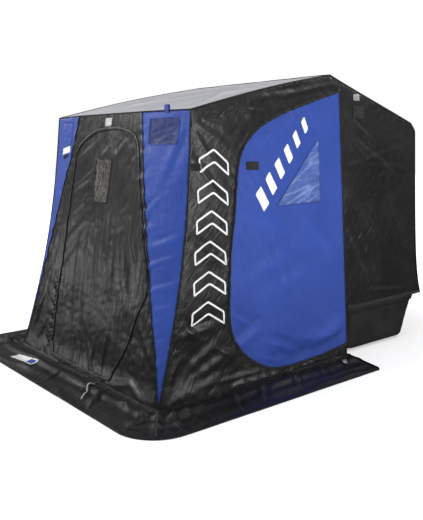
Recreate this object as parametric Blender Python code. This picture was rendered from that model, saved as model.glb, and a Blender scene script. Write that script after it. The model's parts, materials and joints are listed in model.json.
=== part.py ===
"""Two-person flip-over ice fishing shelter: a moulded sled, three folding bows and a sewn cover.

Metres, +Z up. The front door faces -Y, the sled lies at +Y, and X is the shelter's width.
The origin is on the ground, at the middle of the whole footprint, skirt included.
"""
import math

import bmesh
import bpy
from mathutils import Matrix, Vector
from mathutils.geometry import delaunay_2d_cdt

# Driving dimensions of the cover
HALF_WIDTH = 0.897            # side wall to centre plane, at the ground
SIDE_LEAN = 0.0523            # side wall leans in, metres per metre of height
RIDGE_PINCH = 0.056           # extra lean of the side wall under the ridge
FRONT_GROUND_Y = -1.137       # front wall's ground line
FRONT_LEAN = 0.1534           # front wall leans back, metres per metre of height
FRONT_TOP_Z = 1.721
FRONT_CORNER_Y = -0.815       # front top corner
CORNER_BULGE = 0.060          # how far the corner panels round off at mid height
CORNER_TOP_SETBACK = 0.058
SEAM_TOP_X = 0.394            # seam between front wall and corner panel, at the top
RIDGE_Y, RIDGE_Z = 0.46, 2.0
FRONT_ROOF_CROWN = 0.016
REAR_ROOF_SLOPE = 0.345
REAR_WALL_Y = 1.41
EAVE_Y, EAVE_SLOPE = 1.36, 1.1  # the roof turns down over the rear bow
REAR_FLARE = 0.0665           # rear wall spreads over the sled's rim
CLOTH = 0.003                 # thickness of every cloth panel
SEW_GAP = 0.0008              # gap between neighbouring cloth solids
HEM_Z = 0.0045                # lower edge of the walls, just above the skirt

# Skirt
SKIRT_FRONT_Y = -1.475
SKIRT_SIDE_X = 1.255
SKIRT_REAR_Y = 0.49
SKIRT_CORNER_R = 0.26

# Sled
SLED_HALF_X = 0.868
SLED_FRONT_Y, SLED_REAR_Y = 0.572, 1.448
SLED_RIM_Z = 0.35
SLED_LIP_Z = 0.30
SLED_LIP = 0.012
SLED_WALL = 0.006
SLED_CORNER_R = 0.10
SLED_DRAFT_X, SLED_DRAFT_FRONT, SLED_DRAFT_REAR = 0.012, 0.022, 0.118
RUNNER_HALF_X, RUNNER_HALF_Y, RUNNER_H = 0.78, 0.028, 0.012
RUNNERS_Y = (0.78, 1.13)
RAIL_HALF_X, RAIL_SIZE, RAIL_LOW_Z = 0.858, 0.025, 0.3175
RAILS_Y = {"front": 0.87, "rear": 1.09}
FACE_GAP = 0.0003             # between pieces that touch

# Bow frame
PIVOT_Y, PIVOT_Z = 0.98, 0.40
LEG_OUT, LEG_BORE = 0.030, 0.0258
HOOP_OUT, HOOP_BORE = 0.025, 0.021
LEG_LENGTH = {"front": 1.25, "ridge": 0.95, "rear": 0.72}
HOOP_OVERLAP = 0.16           # hoop end inside its leg
PIVOT_X = {"front": 0.810, "rear": 0.770, "ridge": 0.730}
BOW_TOP = {"front": (0.772, -0.788, 1.694), "ridge": (0.704, RIDGE_Y, 1.974), "rear": (0.768, 1.371, 1.644)}
BOW_BEND_R = 0.07
BOLT_R = 0.006
NUT_R, NUT_H = 0.011, 0.008
COLLAR_R = 0.013
PIVOT_CLEARANCE = 0.001       # beside each leg
BRACKET_X, BRACKET_FOOT_X = 0.8265, 0.8565  # its plate, and where its flanges meet the sled's wall
BRACKET_HALF_Y, BRACKET_WALL = 0.045, 0.004
BRACKET_LOW_Z, BRACKET_HIGH_Z = 0.22, 0.428

# Door outlines: side doors as (y, z), front door as (x, z)
HINGE_Y = 0.555
SIDE_DOOR = [
    (HINGE_Y, 0.090), (0.35, 0.066), (0.17, 0.053), (-0.06, 0.048), (-0.21, 0.065), (-0.32, 0.106),
    (-0.43, 0.180), (-0.51, 0.262), (-0.555, 0.355), (-0.573, 0.470), (-0.567, 0.661), (-0.545, 0.869),
    (-0.512, 1.060), (-0.480, 1.282), (-0.460, 1.390), (-0.425, 1.480), (-0.360, 1.560), (-0.244, 1.640),
    (-0.110, 1.697), (0.03, 1.745), (0.34, 1.835), (HINGE_Y, 1.893),
]
SIDE_WINDOW = [(-0.128, 1.128), (0.318, 1.138), (0.309, 1.554)]
FRONT_DOOR = [
    (-0.455, 0.120), (-0.420, 0.060), (-0.360, 0.040), (0.300, 0.040), (0.380, 0.110), (0.500, 0.290),
    (0.570, 0.480), (0.640, 0.620), (0.640, 0.700), (0.560, 0.930), (0.475, 1.200), (0.415, 1.420),
    (0.375, 1.530), (0.300, 1.590), (0.156, 1.622), (-0.030, 1.622), (-0.150, 1.604), (-0.250, 1.565),
    (-0.330, 1.520), (-0.375, 1.470),
]
FRONT_WINDOW = [(-0.085, 1.143), (0.085, 1.143), (0.104, 1.428), (-0.096, 1.428)]
CORNER_WINDOW = [(0.500, 1.520), (0.720, 1.520), (0.715, 1.668), (0.490, 1.668)]

# Seats
SEAT_X, SEAT_Y = 0.40, 0.98
SEAT_HALF_X, SEAT_HALF_Y = 0.180, 0.165
SEAT_PAN_Z = 0.4705
CUSHION_H = 0.055
SEAT_PAN_H = 0.022
SEAT_PLATE = (0.10, 0.135, 0.008)  # half width, half depth and thickness of the plate on the rails
SEAT_POST_R = 0.028
ARM_X, ARM_HALF = 0.150, 0.004
SEAT_PIN_R = 0.004
BACK_PIVOT_Y, BACK_PIVOT_Z = 0.175, 0.625
BACK_HEIGHT, BACK_HALF_X = 0.36, 0.143
BACK_PAD_HALF_X, BACK_PAD_H = 0.138, 0.035

SIDES = {"left": -1, "right": 1}
BOWS = ("front", "ridge", "rear")


def make_material(name, colour, roughness, metallic=0.0):
    material = bpy.data.materials.new(name)
    material.use_nodes = True
    shader = material.node_tree.nodes["Principled BSDF"]
    shader.inputs["Base Color"].default_value = (*colour, 1.0)
    shader.inputs["Roughness"].default_value = roughness
    shader.inputs["Metallic"].default_value = metallic
    return material


def add_object(name, bm, material, parent=None):
    """Turns bm into an object with its faces pointing out."""
    bmesh.ops.recalc_face_normals(bm, faces=bm.faces)
    mesh = bpy.data.meshes.new(name)
    bm.to_mesh(mesh)
    bm.free()
    mesh.materials.append(material)
    obj = bpy.data.objects.new(name, mesh)
    bpy.context.scene.collection.objects.link(obj)
    if parent is not None:
        obj.parent = parent
        obj.matrix_parent_inverse = parent.matrix_world.inverted()
    return obj


def add_axis(name, location):
    """An empty on a joint's axis, to which the moving pieces are parented."""
    empty = bpy.data.objects.new(name, None)
    empty.location = location
    bpy.context.scene.collection.objects.link(empty)
    bpy.context.view_layer.update()
    return empty


def make_cutter(obj):
    obj.hide_render = True
    obj.display_type = "WIRE"
    return obj


def combine(obj, other, operation):
    modifier = obj.modifiers.new(operation.title(), "BOOLEAN")
    modifier.operation = operation
    modifier.solver = "EXACT"
    modifier.object = make_cutter(other)
    return obj


def bevel(obj, width, segments=1):
    modifier = obj.modifiers.new("Edges", "BEVEL")
    modifier.width = width
    modifier.segments = segments
    modifier.limit_method = "ANGLE"
    return obj


def box_bmesh(low, high):
    bm = bmesh.new()
    size = [h - l for l, h in zip(low, high)]
    centre = [(h + l) / 2 for l, h in zip(low, high)]
    bmesh.ops.create_cube(bm, size=1.0, matrix=Matrix.Translation(centre) @ Matrix.Diagonal((*size, 1.0)))
    return bm


def rod_bmesh(start, end, radius, segments=16):
    """A round bar from start to end."""
    start, end = Vector(start), Vector(end)
    turn = (end - start).to_track_quat("Z", "Y").to_matrix().to_4x4()
    bm = bmesh.new()
    bmesh.ops.create_cone(bm, cap_ends=True, segments=segments, radius1=radius, radius2=radius,
                          depth=(end - start).length, matrix=Matrix.Translation((start + end) / 2) @ turn)
    return bm


def bridge_rings(bm, rings):
    """Skins a list of vertex rings and caps both ends."""
    count = len(rings[0])
    for lower, upper in zip(rings, rings[1:]):
        for i in range(count):
            j = (i + 1) % count
            bm.faces.new((lower[i], lower[j], upper[j], upper[i]))
    bm.faces.new(list(reversed(rings[0])))
    bm.faces.new(rings[-1])


# ---------------------------------------------------------------- the cover's surfaces

def side_x(y, z):
    """Outer face of the right side wall."""
    pinch = RIDGE_PINCH * math.exp(-(((y - RIDGE_Y) / 0.75) ** 2)) * z / RIDGE_Z
    return HALF_WIDTH - SIDE_LEAN * z - pinch


def seam_x(z):
    """Seam between front wall and corner panel: it spreads to the wall's corner at the ground."""
    drop = max(0.0, 1 - z / FRONT_TOP_Z)
    return SEAM_TOP_X + (HALF_WIDTH - SEAM_TOP_X) * drop ** 1.15


def front_y(x, z):
    """Outer face of the front: flat between the seams, rounding back to the corners."""
    share = min(1.0, z / FRONT_TOP_Z)
    setback = CORNER_TOP_SETBACK * share + CORNER_BULGE * math.sin(math.pi * share)
    corner, seam = side_x(FRONT_CORNER_Y, z), seam_x(z)
    across = min(1.0, max(0.0, (abs(x) - seam) / max(corner - seam, 0.02)))
    return FRONT_GROUND_Y + FRONT_LEAN * z + setback * across ** 1.4


def corner_y(z):
    """The front corner's seam line."""
    return front_y(side_x(FRONT_CORNER_Y, z), z)


def roof_z(x, y):
    """Outer face of the roof: it rises to the ridge and falls to the rear bow."""
    if y > RIDGE_Y:
        return RIDGE_Z - REAR_ROOF_SLOPE * (min(y, EAVE_Y) - RIDGE_Y) - EAVE_SLOPE * max(0.0, y - EAVE_Y)
    share = max(0.0, (y - FRONT_CORNER_Y) / (RIDGE_Y - FRONT_CORNER_Y))
    return FRONT_TOP_Z + (RIDGE_Z - FRONT_TOP_Z) * share + FRONT_ROOF_CROWN * math.sin(math.pi * share)


def rear_y(z):
    """Outer face of the rear wall: it spreads over the sled's rim."""
    return REAR_WALL_Y + REAR_FLARE * math.exp(-(z - SLED_RIM_Z) / 0.20)


# Each lift places a flat pattern point (a, b) on its surface; depth goes inwards
LIFTS = {
    "right": lambda a, b, depth: (side_x(a, b) - depth, a, b),
    "left": lambda a, b, depth: (depth - side_x(a, b), a, b),
    "front": lambda a, b, depth: (a, front_y(a, b) + depth, b),
    "rear": lambda a, b, depth: (a, rear_y(b) - depth, b),
    "roof": lambda a, b, depth: (a, b, roof_z(a, b) - depth),
    "ground": lambda a, b, depth: (a, b, CLOTH - depth),
}


def inside(point, outline):
    """Even-odd test of a point against a closed outline."""
    x, y = point
    result = False
    for (x1, y1), (x2, y2) in zip(outline, outline[1:] + outline[:1]):
        if (y1 > y) != (y2 > y) and x < (x2 - x1) * (y - y1) / (y2 - y1) + x1:
            result = not result
    return result


def signed_area(outline):
    return sum(x1 * y2 - x2 * y1 for (x1, y1), (x2, y2) in zip(outline, outline[1:] + outline[:1])) / 2


def shrink(outline, distance):
    """Moves a closed outline inwards by distance, or outwards where it is negative."""
    turn = 1 if signed_area(outline) > 0 else -1
    result = []
    for i, point in enumerate(outline):
        before, after = Vector(outline[i - 1]), Vector(outline[(i + 1) % len(outline)])
        point = Vector(point)
        first, second = (point - before).normalized(), (after - point).normalized()
        normals = [Vector((-d.y, d.x)) * turn for d in (first, second)]
        middle = (normals[0] + normals[1]).normalized()
        result.append(tuple(point + middle * distance / max(0.5, middle.dot(normals[0]))))
    return result


def near_edge(point, outline, limit):
    """True where a point lies closer than limit to an outline's edges."""
    p = Vector(point)
    for a, b in zip(outline, outline[1:] + outline[:1]):
        a, b = Vector(a), Vector(b)
        t = max(0.0, min(1.0, (p - a).dot(b - a) / max((b - a).length_squared, 1e-12)))
        if (a + (b - a) * t - p).length < limit:
            return True
    return False


def add_panel(name, lift, outline, material, holes=(), parent=None, spacing=0.16, creases=()):
    """A sewn panel: a flat pattern with holes, laid on its surface and given the cloth's thickness.

    creases are more pattern points, along lines where the surface bends."""
    loops = [list(outline)] + [list(h) for h in holes]
    points, edges = [], []
    for loop in loops:
        first = len(points)
        points += [Vector(p) for p in loop]
        edges += [(first + i, first + (i + 1) % len(loop)) for i in range(len(loop))]
    low = [min(p[k] for p in outline) for k in (0, 1)]
    high = [max(p[k] for p in outline) for k in (0, 1)]
    steps = [max(1, round((high[k] - low[k]) / spacing)) for k in (0, 1)]
    points += [Vector(p) for p in creases]
    for i in range(1, steps[0]):
        for j in range(1, steps[1]):
            p = (low[0] + (high[0] - low[0]) * i / steps[0], low[1] + (high[1] - low[1]) * j / steps[1])
            in_cloth = inside(p, loops[0]) and not any(inside(p, h) for h in loops[1:])
            if in_cloth and not any(near_edge(p, loop, spacing * 0.3) for loop in loops):
                points.append(Vector(p))
    flat, _, triangles, *_ = delaunay_2d_cdt(points, edges, [], 0, 1e-7)
    bm = bmesh.new()
    outer = [bm.verts.new(LIFTS[lift](p.x, p.y, 0.0)) for p in flat]
    inner = [bm.verts.new(LIFTS[lift](p.x, p.y, CLOTH)) for p in flat]
    for triangle in triangles:
        centre = sum((flat[i] for i in triangle), Vector((0.0, 0.0))) / 3
        if inside(centre, loops[0]) and not any(inside(centre, h) for h in loops[1:]):
            bm.faces.new([outer[i] for i in triangle])
            bm.faces.new([inner[i] for i in reversed(triangle)])
    twin = dict(zip(outer, inner))
    for edge in [e for e in bm.edges if len(e.link_faces) == 1 and e.verts[0] in twin]:
        a, b = edge.verts
        bm.faces.new((b, a, twin[a], twin[b]))
    bmesh.ops.delete(bm, geom=[v for v in bm.verts if not v.link_faces], context="VERTS")
    return add_object(name, bm, material, parent)


def spread(low, high, count):
    return [low + (high - low) * i / count for i in range(count + 1)]


# ---------------------------------------------------------------- the sled

def rounded_ring(bm, z, half_x, y_front, y_rear, radius, corner_steps=6):
    ring = []
    corners = [(1, y_front, -90), (1, y_rear, 0), (-1, y_rear, 90), (-1, y_front, 180)]
    for sign, y, start in corners:
        centre_y = y + radius if y == y_front else y - radius
        for i in range(corner_steps + 1):
            angle = math.radians(start + 90 * i / corner_steps)
            x = sign * (half_x - radius) + radius * math.cos(angle)
            ring.append(bm.verts.new((x, centre_y + radius * math.sin(angle), z)))
    return ring


def make_sled(materials):
    """A rotomoulded tub with draft, a rolled lip and a flat floor, with its runners and seat rails."""
    bottom = RUNNER_H + FACE_GAP
    bm = bmesh.new()

    def ring(z, out):
        share = (z - bottom) / (SLED_RIM_Z - bottom)
        return rounded_ring(bm, z, SLED_HALF_X - SLED_DRAFT_X * (1 - share) + out,
                            SLED_FRONT_Y + SLED_DRAFT_FRONT * (1 - share) - out,
                            SLED_REAR_Y - SLED_DRAFT_REAR * (1 - share) + out, SLED_CORNER_R + out)

    outside = [(bottom, -0.030), (bottom + 0.006, -0.012), (bottom + 0.026, 0.0), (0.16, 0.0), (SLED_LIP_Z, 0.0),
               (SLED_LIP_Z + 0.004, SLED_LIP), (SLED_RIM_Z - 0.006, SLED_LIP), (SLED_RIM_Z, SLED_LIP - 0.006)]
    inner = [(SLED_RIM_Z, -SLED_WALL + 0.002), (SLED_RIM_Z - 0.004, -SLED_WALL), (0.16, -SLED_WALL),
             (bottom + 0.032, -SLED_WALL), (bottom + 0.012, -0.018), (bottom + SLED_WALL, -0.036)]
    bridge_rings(bm, [ring(z, out) for z, out in outside + inner])
    add_object("sled_tub", bm, materials["polyethylene"])
    for i, y in enumerate(RUNNERS_Y, start=1):
        strip = box_bmesh((-RUNNER_HALF_X, y - RUNNER_HALF_Y, 0.0), (RUNNER_HALF_X, y + RUNNER_HALF_Y, RUNNER_H))
        bevel(add_object(f"runner_{i}", strip, materials["runner"]), 0.004)
    for name, y in RAILS_Y.items():
        rail = box_bmesh((-RAIL_HALF_X, y - RAIL_SIZE / 2, RAIL_LOW_Z),
                         (RAIL_HALF_X, y + RAIL_SIZE / 2, RAIL_LOW_Z + RAIL_SIZE))
        bevel(add_object(f"seat_rail_{name}", rail, materials["aluminium"]), 0.002)


def make_bracket(side, sign, materials):
    """A channel on the sled's end wall, with the bolt's hole in its plate."""
    y, wall = BRACKET_HALF_Y, BRACKET_WALL
    channel = [(BRACKET_FOOT_X, -y), (BRACKET_X, -y), (BRACKET_X, y), (BRACKET_FOOT_X, y),
               (BRACKET_FOOT_X, y - wall), (BRACKET_X + wall, y - wall),
               (BRACKET_X + wall, wall - y), (BRACKET_FOOT_X, wall - y)]
    bm = bmesh.new()
    bridge_rings(bm, [[bm.verts.new((sign * px, PIVOT_Y + py, z)) for px, py in channel]
                      for z in (BRACKET_LOW_Z, BRACKET_HIGH_Z)])
    bracket = add_object(f"pivot_bracket_{side}", bm, materials["steel"])
    hole = rod_bmesh((sign * (BRACKET_X - 0.015), PIVOT_Y, PIVOT_Z), (sign * (BRACKET_X + 0.015), PIVOT_Y, PIVOT_Z),
                     BOLT_R + 0.0005)
    combine(bracket, add_object(f"bracket_hole_{side}", hole, materials["steel"]), "DIFFERENCE")


def make_pivot(side, sign, materials):
    """Bracket, shoulder bolt and spacer on which one side's three legs turn."""
    make_bracket(side, sign, materials)

    def rod(low_x, high_x, radius, segments=16):
        return rod_bmesh((sign * low_x, PIVOT_Y, PIVOT_Z), (sign * high_x, PIVOT_Y, PIVOT_Z), radius, segments)

    half_leg = LEG_OUT / 2
    nut_x = PIVOT_X["ridge"] - half_leg - PIVOT_CLEARANCE - NUT_H
    head_x = BRACKET_X + BRACKET_WALL + FACE_GAP
    bolt = add_object(f"pivot_bolt_{side}", rod(nut_x - 0.003, head_x + NUT_H / 2, BOLT_R), materials["steel"])
    collar_x = [PIVOT_X["ridge"] + half_leg + PIVOT_CLEARANCE, PIVOT_X["rear"] - half_leg - PIVOT_CLEARANCE]
    for name, shape in (("head", rod(head_x, head_x + NUT_H, NUT_R, 6)), ("nut", rod(nut_x, nut_x + NUT_H, NUT_R, 6)),
                        ("collar", rod(*collar_x, COLLAR_R))):
        combine(bolt, add_object(f"bolt_{name}_{side}", shape, materials["steel"]), "UNION")
    low = PIVOT_X["rear"] + half_leg + 2 * FACE_GAP
    high = PIVOT_X["front"] - half_leg - 2 * FACE_GAP
    spacer = add_object(f"pivot_spacer_{side}", rod(low, high, COLLAR_R), materials["nylon"])
    bore = rod(low - 0.01, high + 0.01, BOLT_R + 0.0005)
    combine(spacer, add_object(f"spacer_bore_{side}", bore, materials["nylon"]), "DIFFERENCE")


# ---------------------------------------------------------------- the bows

def square_ring(bm, centre, tangent, normal, half):
    """A square section across tangent, with one pair of sides facing the bow's normal."""
    across = tangent.cross(normal).normalized()
    facing = across.cross(tangent).normalized()
    signs = ((-1, -1), (1, -1), (1, 1), (-1, 1))
    return [bm.verts.new(centre + across * (half * a) + facing * (half * b)) for a, b in signs]


def sweep_square(path, normal, size):
    """A square tube's outer solid along a path of points, with mitred joints."""
    bm = bmesh.new()
    rings = []
    for i, point in enumerate(path):
        before = (point - path[i - 1]).normalized() if i else (path[1] - point).normalized()
        after = (path[i + 1] - point).normalized() if i + 1 < len(path) else before
        tangent = (before + after).normalized()
        stretch = 1 / max(0.5, tangent.dot(before))
        ring = square_ring(bm, point, tangent, normal, size / 2)
        if i and i + 1 < len(path):
            bend = (after - before)
            if bend.length > 1e-6:
                bend.normalize()
                for vertex in ring:
                    offset = vertex.co - point
                    vertex.co = point + offset + bend * offset.dot(bend) * (stretch - 1)
        rings.append(ring)
    bridge_rings(bm, rings)
    return bm


def bow_geometry(bow):
    """Direction from the pivot to the crossbar and the normal of the bow's plane, both in the YZ plane."""
    _, y, z = BOW_TOP[bow]
    along = Vector((0.0, y - PIVOT_Y, z - PIVOT_Z))
    reach = along.length
    along.normalize()
    return along, Vector((0.0, along.z, -along.y)), reach


def make_bow(bow, materials, axis):
    along, normal, reach = bow_geometry(bow)
    top_x = BOW_TOP[bow][0]
    pivot = Vector((0.0, PIVOT_Y, PIVOT_Z))
    flat_normal = -normal if bow == "front" else normal

    def at(x_share, distance, sign):
        x = PIVOT_X[bow] + (top_x - PIVOT_X[bow]) * x_share
        return pivot + along * distance + Vector((sign * x, 0.0, 0.0))

    hoop_start = LEG_LENGTH[bow] - HOOP_OVERLAP
    half = []
    for sign in (1, -1):
        corner = []
        for i in range(6):
            angle = math.radians(90 * i / 5)
            distance = reach - BOW_BEND_R * (1 - math.sin(angle))
            inward = Vector((-sign * BOW_BEND_R * (1 - math.cos(angle)), 0.0, 0.0))
            corner.append(at(distance / reach, distance, sign) + inward)
        path = [at(hoop_start / reach, hoop_start, sign)] + corner
        if bow == "front":
            path.append(Vector((sign * SEAM_TOP_X, corner[-1].y - CORNER_TOP_SETBACK, corner[-1].z)))
        half.append(path)
    path = half[0] + half[1][::-1]
    hoop = add_object(f"hoop_{bow}", sweep_square(path, flat_normal, HOOP_OUT), materials["aluminium"], axis)
    ends = [2 * path[0] - path[1], 2 * path[-1] - path[-2]]
    ends = [path[i] + (end - path[i]).normalized() * 0.02 for i, end in zip((0, -1), ends)]
    hollow = sweep_square([ends[0]] + path + [ends[1]], flat_normal, HOOP_BORE)
    combine(hoop, add_object(f"hoop_{bow}_bore", hollow, materials["aluminium"]), "DIFFERENCE")
    for side, sign in SIDES.items():
        foot, head = at(-0.028 / reach, -0.028, sign), at(LEG_LENGTH[bow] / reach, LEG_LENGTH[bow], sign)
        leg_name = f"leg_{bow}_{side}"
        leg = add_object(leg_name, sweep_square([foot, head], normal, LEG_OUT), materials["aluminium"], axis)
        extra = (head - foot).normalized() * 0.02
        bore = sweep_square([foot - extra, head + extra], normal, LEG_BORE)
        combine(leg, add_object(f"{leg_name}_bore", bore, materials["aluminium"]), "DIFFERENCE")
        reach_x = Vector((LEG_OUT, 0.0, 0.0))
        centre = at(0.0, 0.0, sign)
        eye = rod_bmesh(centre - reach_x, centre + reach_x, BOLT_R + 0.0006)
        combine(leg, add_object(f"{leg_name}_eye", eye, materials["aluminium"]), "DIFFERENCE")
        make_snap_button(bow, side, leg, hoop, at, sign, normal, materials)


def make_snap_button(bow, side, leg, hoop, at, sign, normal, materials):
    """The spring button that locks hoop and leg: it stands through both walls and is pressed in."""
    seat = LEG_LENGTH[bow] - HOOP_OVERLAP / 2
    _, _, reach = bow_geometry(bow)
    centre = at(seat / reach, seat, sign)
    stem, hole = 0.0040, 0.0046
    base, tip = 0.0035, LEG_OUT / 2 + 0.006
    drill = rod_bmesh(centre + normal * (base - 0.0075), centre + normal * (tip + 0.02), hole, 12)
    cutter = add_object(f"snap_hole_{bow}_{side}", drill, materials["steel"])
    combine(leg, cutter, "DIFFERENCE")
    combine(hoop, cutter, "DIFFERENCE")
    pin = rod_bmesh(centre + normal * base, centre + normal * tip, stem, 12)
    origin = add_axis(f"axis_snap_{bow}_{side}", centre)
    bevel(add_object(f"snap_button_{bow}_{side}", pin, materials["steel"], origin), 0.001)


# ---------------------------------------------------------------- the cover

def make_front(materials, axis, door_axis):
    inset = CLOTH + SEW_GAP
    low, high = HEM_Z, FRONT_TOP_Z - CLOTH - SEW_GAP
    heights = spread(low, high, 8)
    right_edge = [(seam_x(z) - SEW_GAP, z) for z in heights]
    left_edge = [(-x, z) for x, z in reversed(right_edge)]
    right_edge[0] = (right_edge[0][0] - 2 * inset, low)
    left_edge[-1] = (-right_edge[0][0], low)
    add_panel("front_wall", "front", right_edge + left_edge, materials["black_cloth"],
              [shrink(FRONT_DOOR, -0.001)], axis)
    add_panel("front_door", "front", shrink(FRONT_DOOR, 0.001), materials["black_cloth"],
              [FRONT_WINDOW], door_axis)
    add_panel("front_door_window", "front", shrink(FRONT_WINDOW, SEW_GAP), materials["grey_vinyl"],
              parent=door_axis)
    rows = [0.05, 0.11] + heights[1:]
    for side, sign in SIDES.items():
        inner = [(sign * (seam_x(z) + SEW_GAP), z) for z in rows]
        outer = [(sign * (side_x(corner_y(z), z) - inset), z) for z in rows]
        window = [(sign * x, z) for x, z in CORNER_WINDOW]
        add_panel(f"corner_panel_{side}", "front", inner + outer[::-1], materials["blue_cloth"],
                  [window], axis)
        add_panel(f"corner_window_{side}", "front", shrink(window, SEW_GAP), materials["blue_vinyl"],
                  parent=axis)


def under_roof(y):
    """Top edge of a side panel, just under the roof's cloth."""
    return roof_z(0.0, y) - CLOTH - SEW_GAP


def make_sides(materials, front_axis, rear_axis, door_axes):
    split = HINGE_Y + SEW_GAP
    corner = [(corner_y(z), z) for z in spread(HEM_Z, FRONT_TOP_Z - CLOTH - SEW_GAP, 8)]
    top = [(y, under_roof(y)) for y in spread(FRONT_CORNER_Y, RIDGE_Y, 6)[1:]]
    hinge = [(HINGE_Y, under_roof(HINGE_Y)), (HINGE_Y, SIDE_DOOR[-1][1] + 0.004)]
    door_edge = shrink(SIDE_DOOR, -0.001)[1:-1]
    door_edge = [(HINGE_Y - 0.004, SIDE_DOOR[0][1] - 0.001)] + door_edge
    door_edge += [(HINGE_Y - 0.004, SIDE_DOOR[-1][1] + 0.001)]
    front_outline = ([(HINGE_Y, HEM_Z)] + corner + top + hinge + door_edge[::-1]
                     + [(HINGE_Y, SIDE_DOOR[0][1] - 0.003)])
    low = SLED_RIM_Z + 0.0045
    rear_top = under_roof(REAR_WALL_Y)
    rear_outline = ([(split, low), (split, under_roof(split))]
                    + [(y, under_roof(y)) for y in spread(split, EAVE_Y, 5)[1:]]
                    + [(rear_y(z) - 0.001, z) for z in spread(rear_top, low, 7)])
    for side in SIDES:
        add_panel(f"side_front_{side}", side, front_outline, materials["black_cloth"], (), front_axis)
        add_panel(f"side_rear_{side}", side, rear_outline, materials["black_cloth"], (), rear_axis)
        add_panel(f"side_door_{side}", side, shrink(SIDE_DOOR, 0.001), materials["blue_cloth"],
                  [SIDE_WINDOW], door_axes[side])
        add_panel(f"side_window_{side}", side, shrink(SIDE_WINDOW, SEW_GAP), materials["clear_vinyl"],
                  parent=door_axes[side])


def make_roof_and_rear(materials, front_axis, rear_axis):
    def edge(y):
        return side_x(y, roof_z(0.0, y))

    front_line = [(x, front_y(x, FRONT_TOP_Z)) for x in spread(-edge(FRONT_CORNER_Y), edge(FRONT_CORNER_Y), 10)]
    steps = spread(FRONT_CORNER_Y, RIDGE_Y - SEW_GAP, 6)[1:]
    right = [(edge(y), y) for y in steps]
    add_panel("roof_front", "roof", front_line + right + [(-x, y) for x, y in reversed(right)],
              materials["silver_cloth"], (), front_axis)
    steps = spread(RIDGE_Y + SEW_GAP, EAVE_Y, 5) + [REAR_WALL_Y]
    right = [(edge(y), y) for y in steps]
    eave = [(x, EAVE_Y) for x in spread(-0.9 * edge(EAVE_Y), 0.9 * edge(EAVE_Y), 40)]
    add_panel("roof_rear", "roof", [(-x, y) for x, y in reversed(right)] + right,
              materials["black_cloth"], (), rear_axis, creases=eave)
    low, high = SLED_RIM_Z + 0.0045, roof_z(0.0, REAR_WALL_Y) - CLOTH - SEW_GAP
    right = [(side_x(rear_y(z), z) - CLOTH - SEW_GAP, z) for z in spread(low, high, 7)]
    add_panel("rear_wall", "rear", right + [(-x, z) for x, z in reversed(right)], materials["black_cloth"])


def make_skirt(materials, axis):
    """Ground skirt in three strips: the front one carries both rounded corners."""
    join_y = SKIRT_FRONT_Y + SKIRT_CORNER_R + 0.02
    wall_x = HALF_WIDTH - 0.03
    inner_y = FRONT_GROUND_Y + 0.03
    arc = []
    for i in range(7):
        angle = math.radians(-90 + 90 * i / 6)
        arc.append((SKIRT_SIDE_X - SKIRT_CORNER_R * (1 - math.cos(angle)),
                    SKIRT_FRONT_Y + SKIRT_CORNER_R * (1 + math.sin(angle))))
    right = arc + [(SKIRT_SIDE_X, join_y), (wall_x, join_y), (wall_x, inner_y)]
    add_panel("skirt_front", "ground", right + [(-x, y) for x, y in reversed(right)],
              materials["black_cloth"], (), axis)
    for side, sign in SIDES.items():
        strip = [(wall_x, join_y + SEW_GAP), (SKIRT_SIDE_X, join_y + SEW_GAP), (SKIRT_SIDE_X, SKIRT_REAR_Y - 0.03),
                 (SKIRT_SIDE_X - 0.03, SKIRT_REAR_Y), (HALF_WIDTH, HINGE_Y + 0.02), (wall_x, HINGE_Y - 0.01)]
        add_panel(f"skirt_{side}", "ground", [(sign * x, y) for x, y in strip], materials["black_cloth"],
                  (), axis)


# ---------------------------------------------------------------- the seats

def rounded_slab(centre, half_x, half_y, low, high, radius, edge=0.006):
    """A slab with rounded plan corners and softened upper and lower edges."""
    bm = bmesh.new()
    rings = []
    for z, out in ((low, -edge), (low + edge, 0.0), (high - edge, 0.0), (high, -edge)):
        ring = rounded_ring(bm, z, half_x + out, -half_y - out, half_y + out, radius + out, 4)
        for vertex in ring:
            vertex.co.x += centre[0]
            vertex.co.y += centre[1]
        rings.append(ring)
    bridge_rings(bm, rings)
    return bm


def make_seat_base(side, x, materials):
    """The plate that slides on the rails, with the swivel's post."""
    half_x, half_y, thick = SEAT_PLATE
    low = RAIL_LOW_Z + RAIL_SIZE + 0.0005
    plate = box_bmesh((x - half_x, SEAT_Y - half_y, low), (x + half_x, SEAT_Y + half_y, low + thick))
    base = add_object(f"seat_base_{side}", plate, materials["steel"])
    post = rod_bmesh((x, SEAT_Y, low + thick / 2), (x, SEAT_Y, SEAT_PAN_Z - 0.0004), SEAT_POST_R, 20)
    combine(base, add_object(f"seat_post_{side}", post, materials["steel"]), "UNION")


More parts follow.
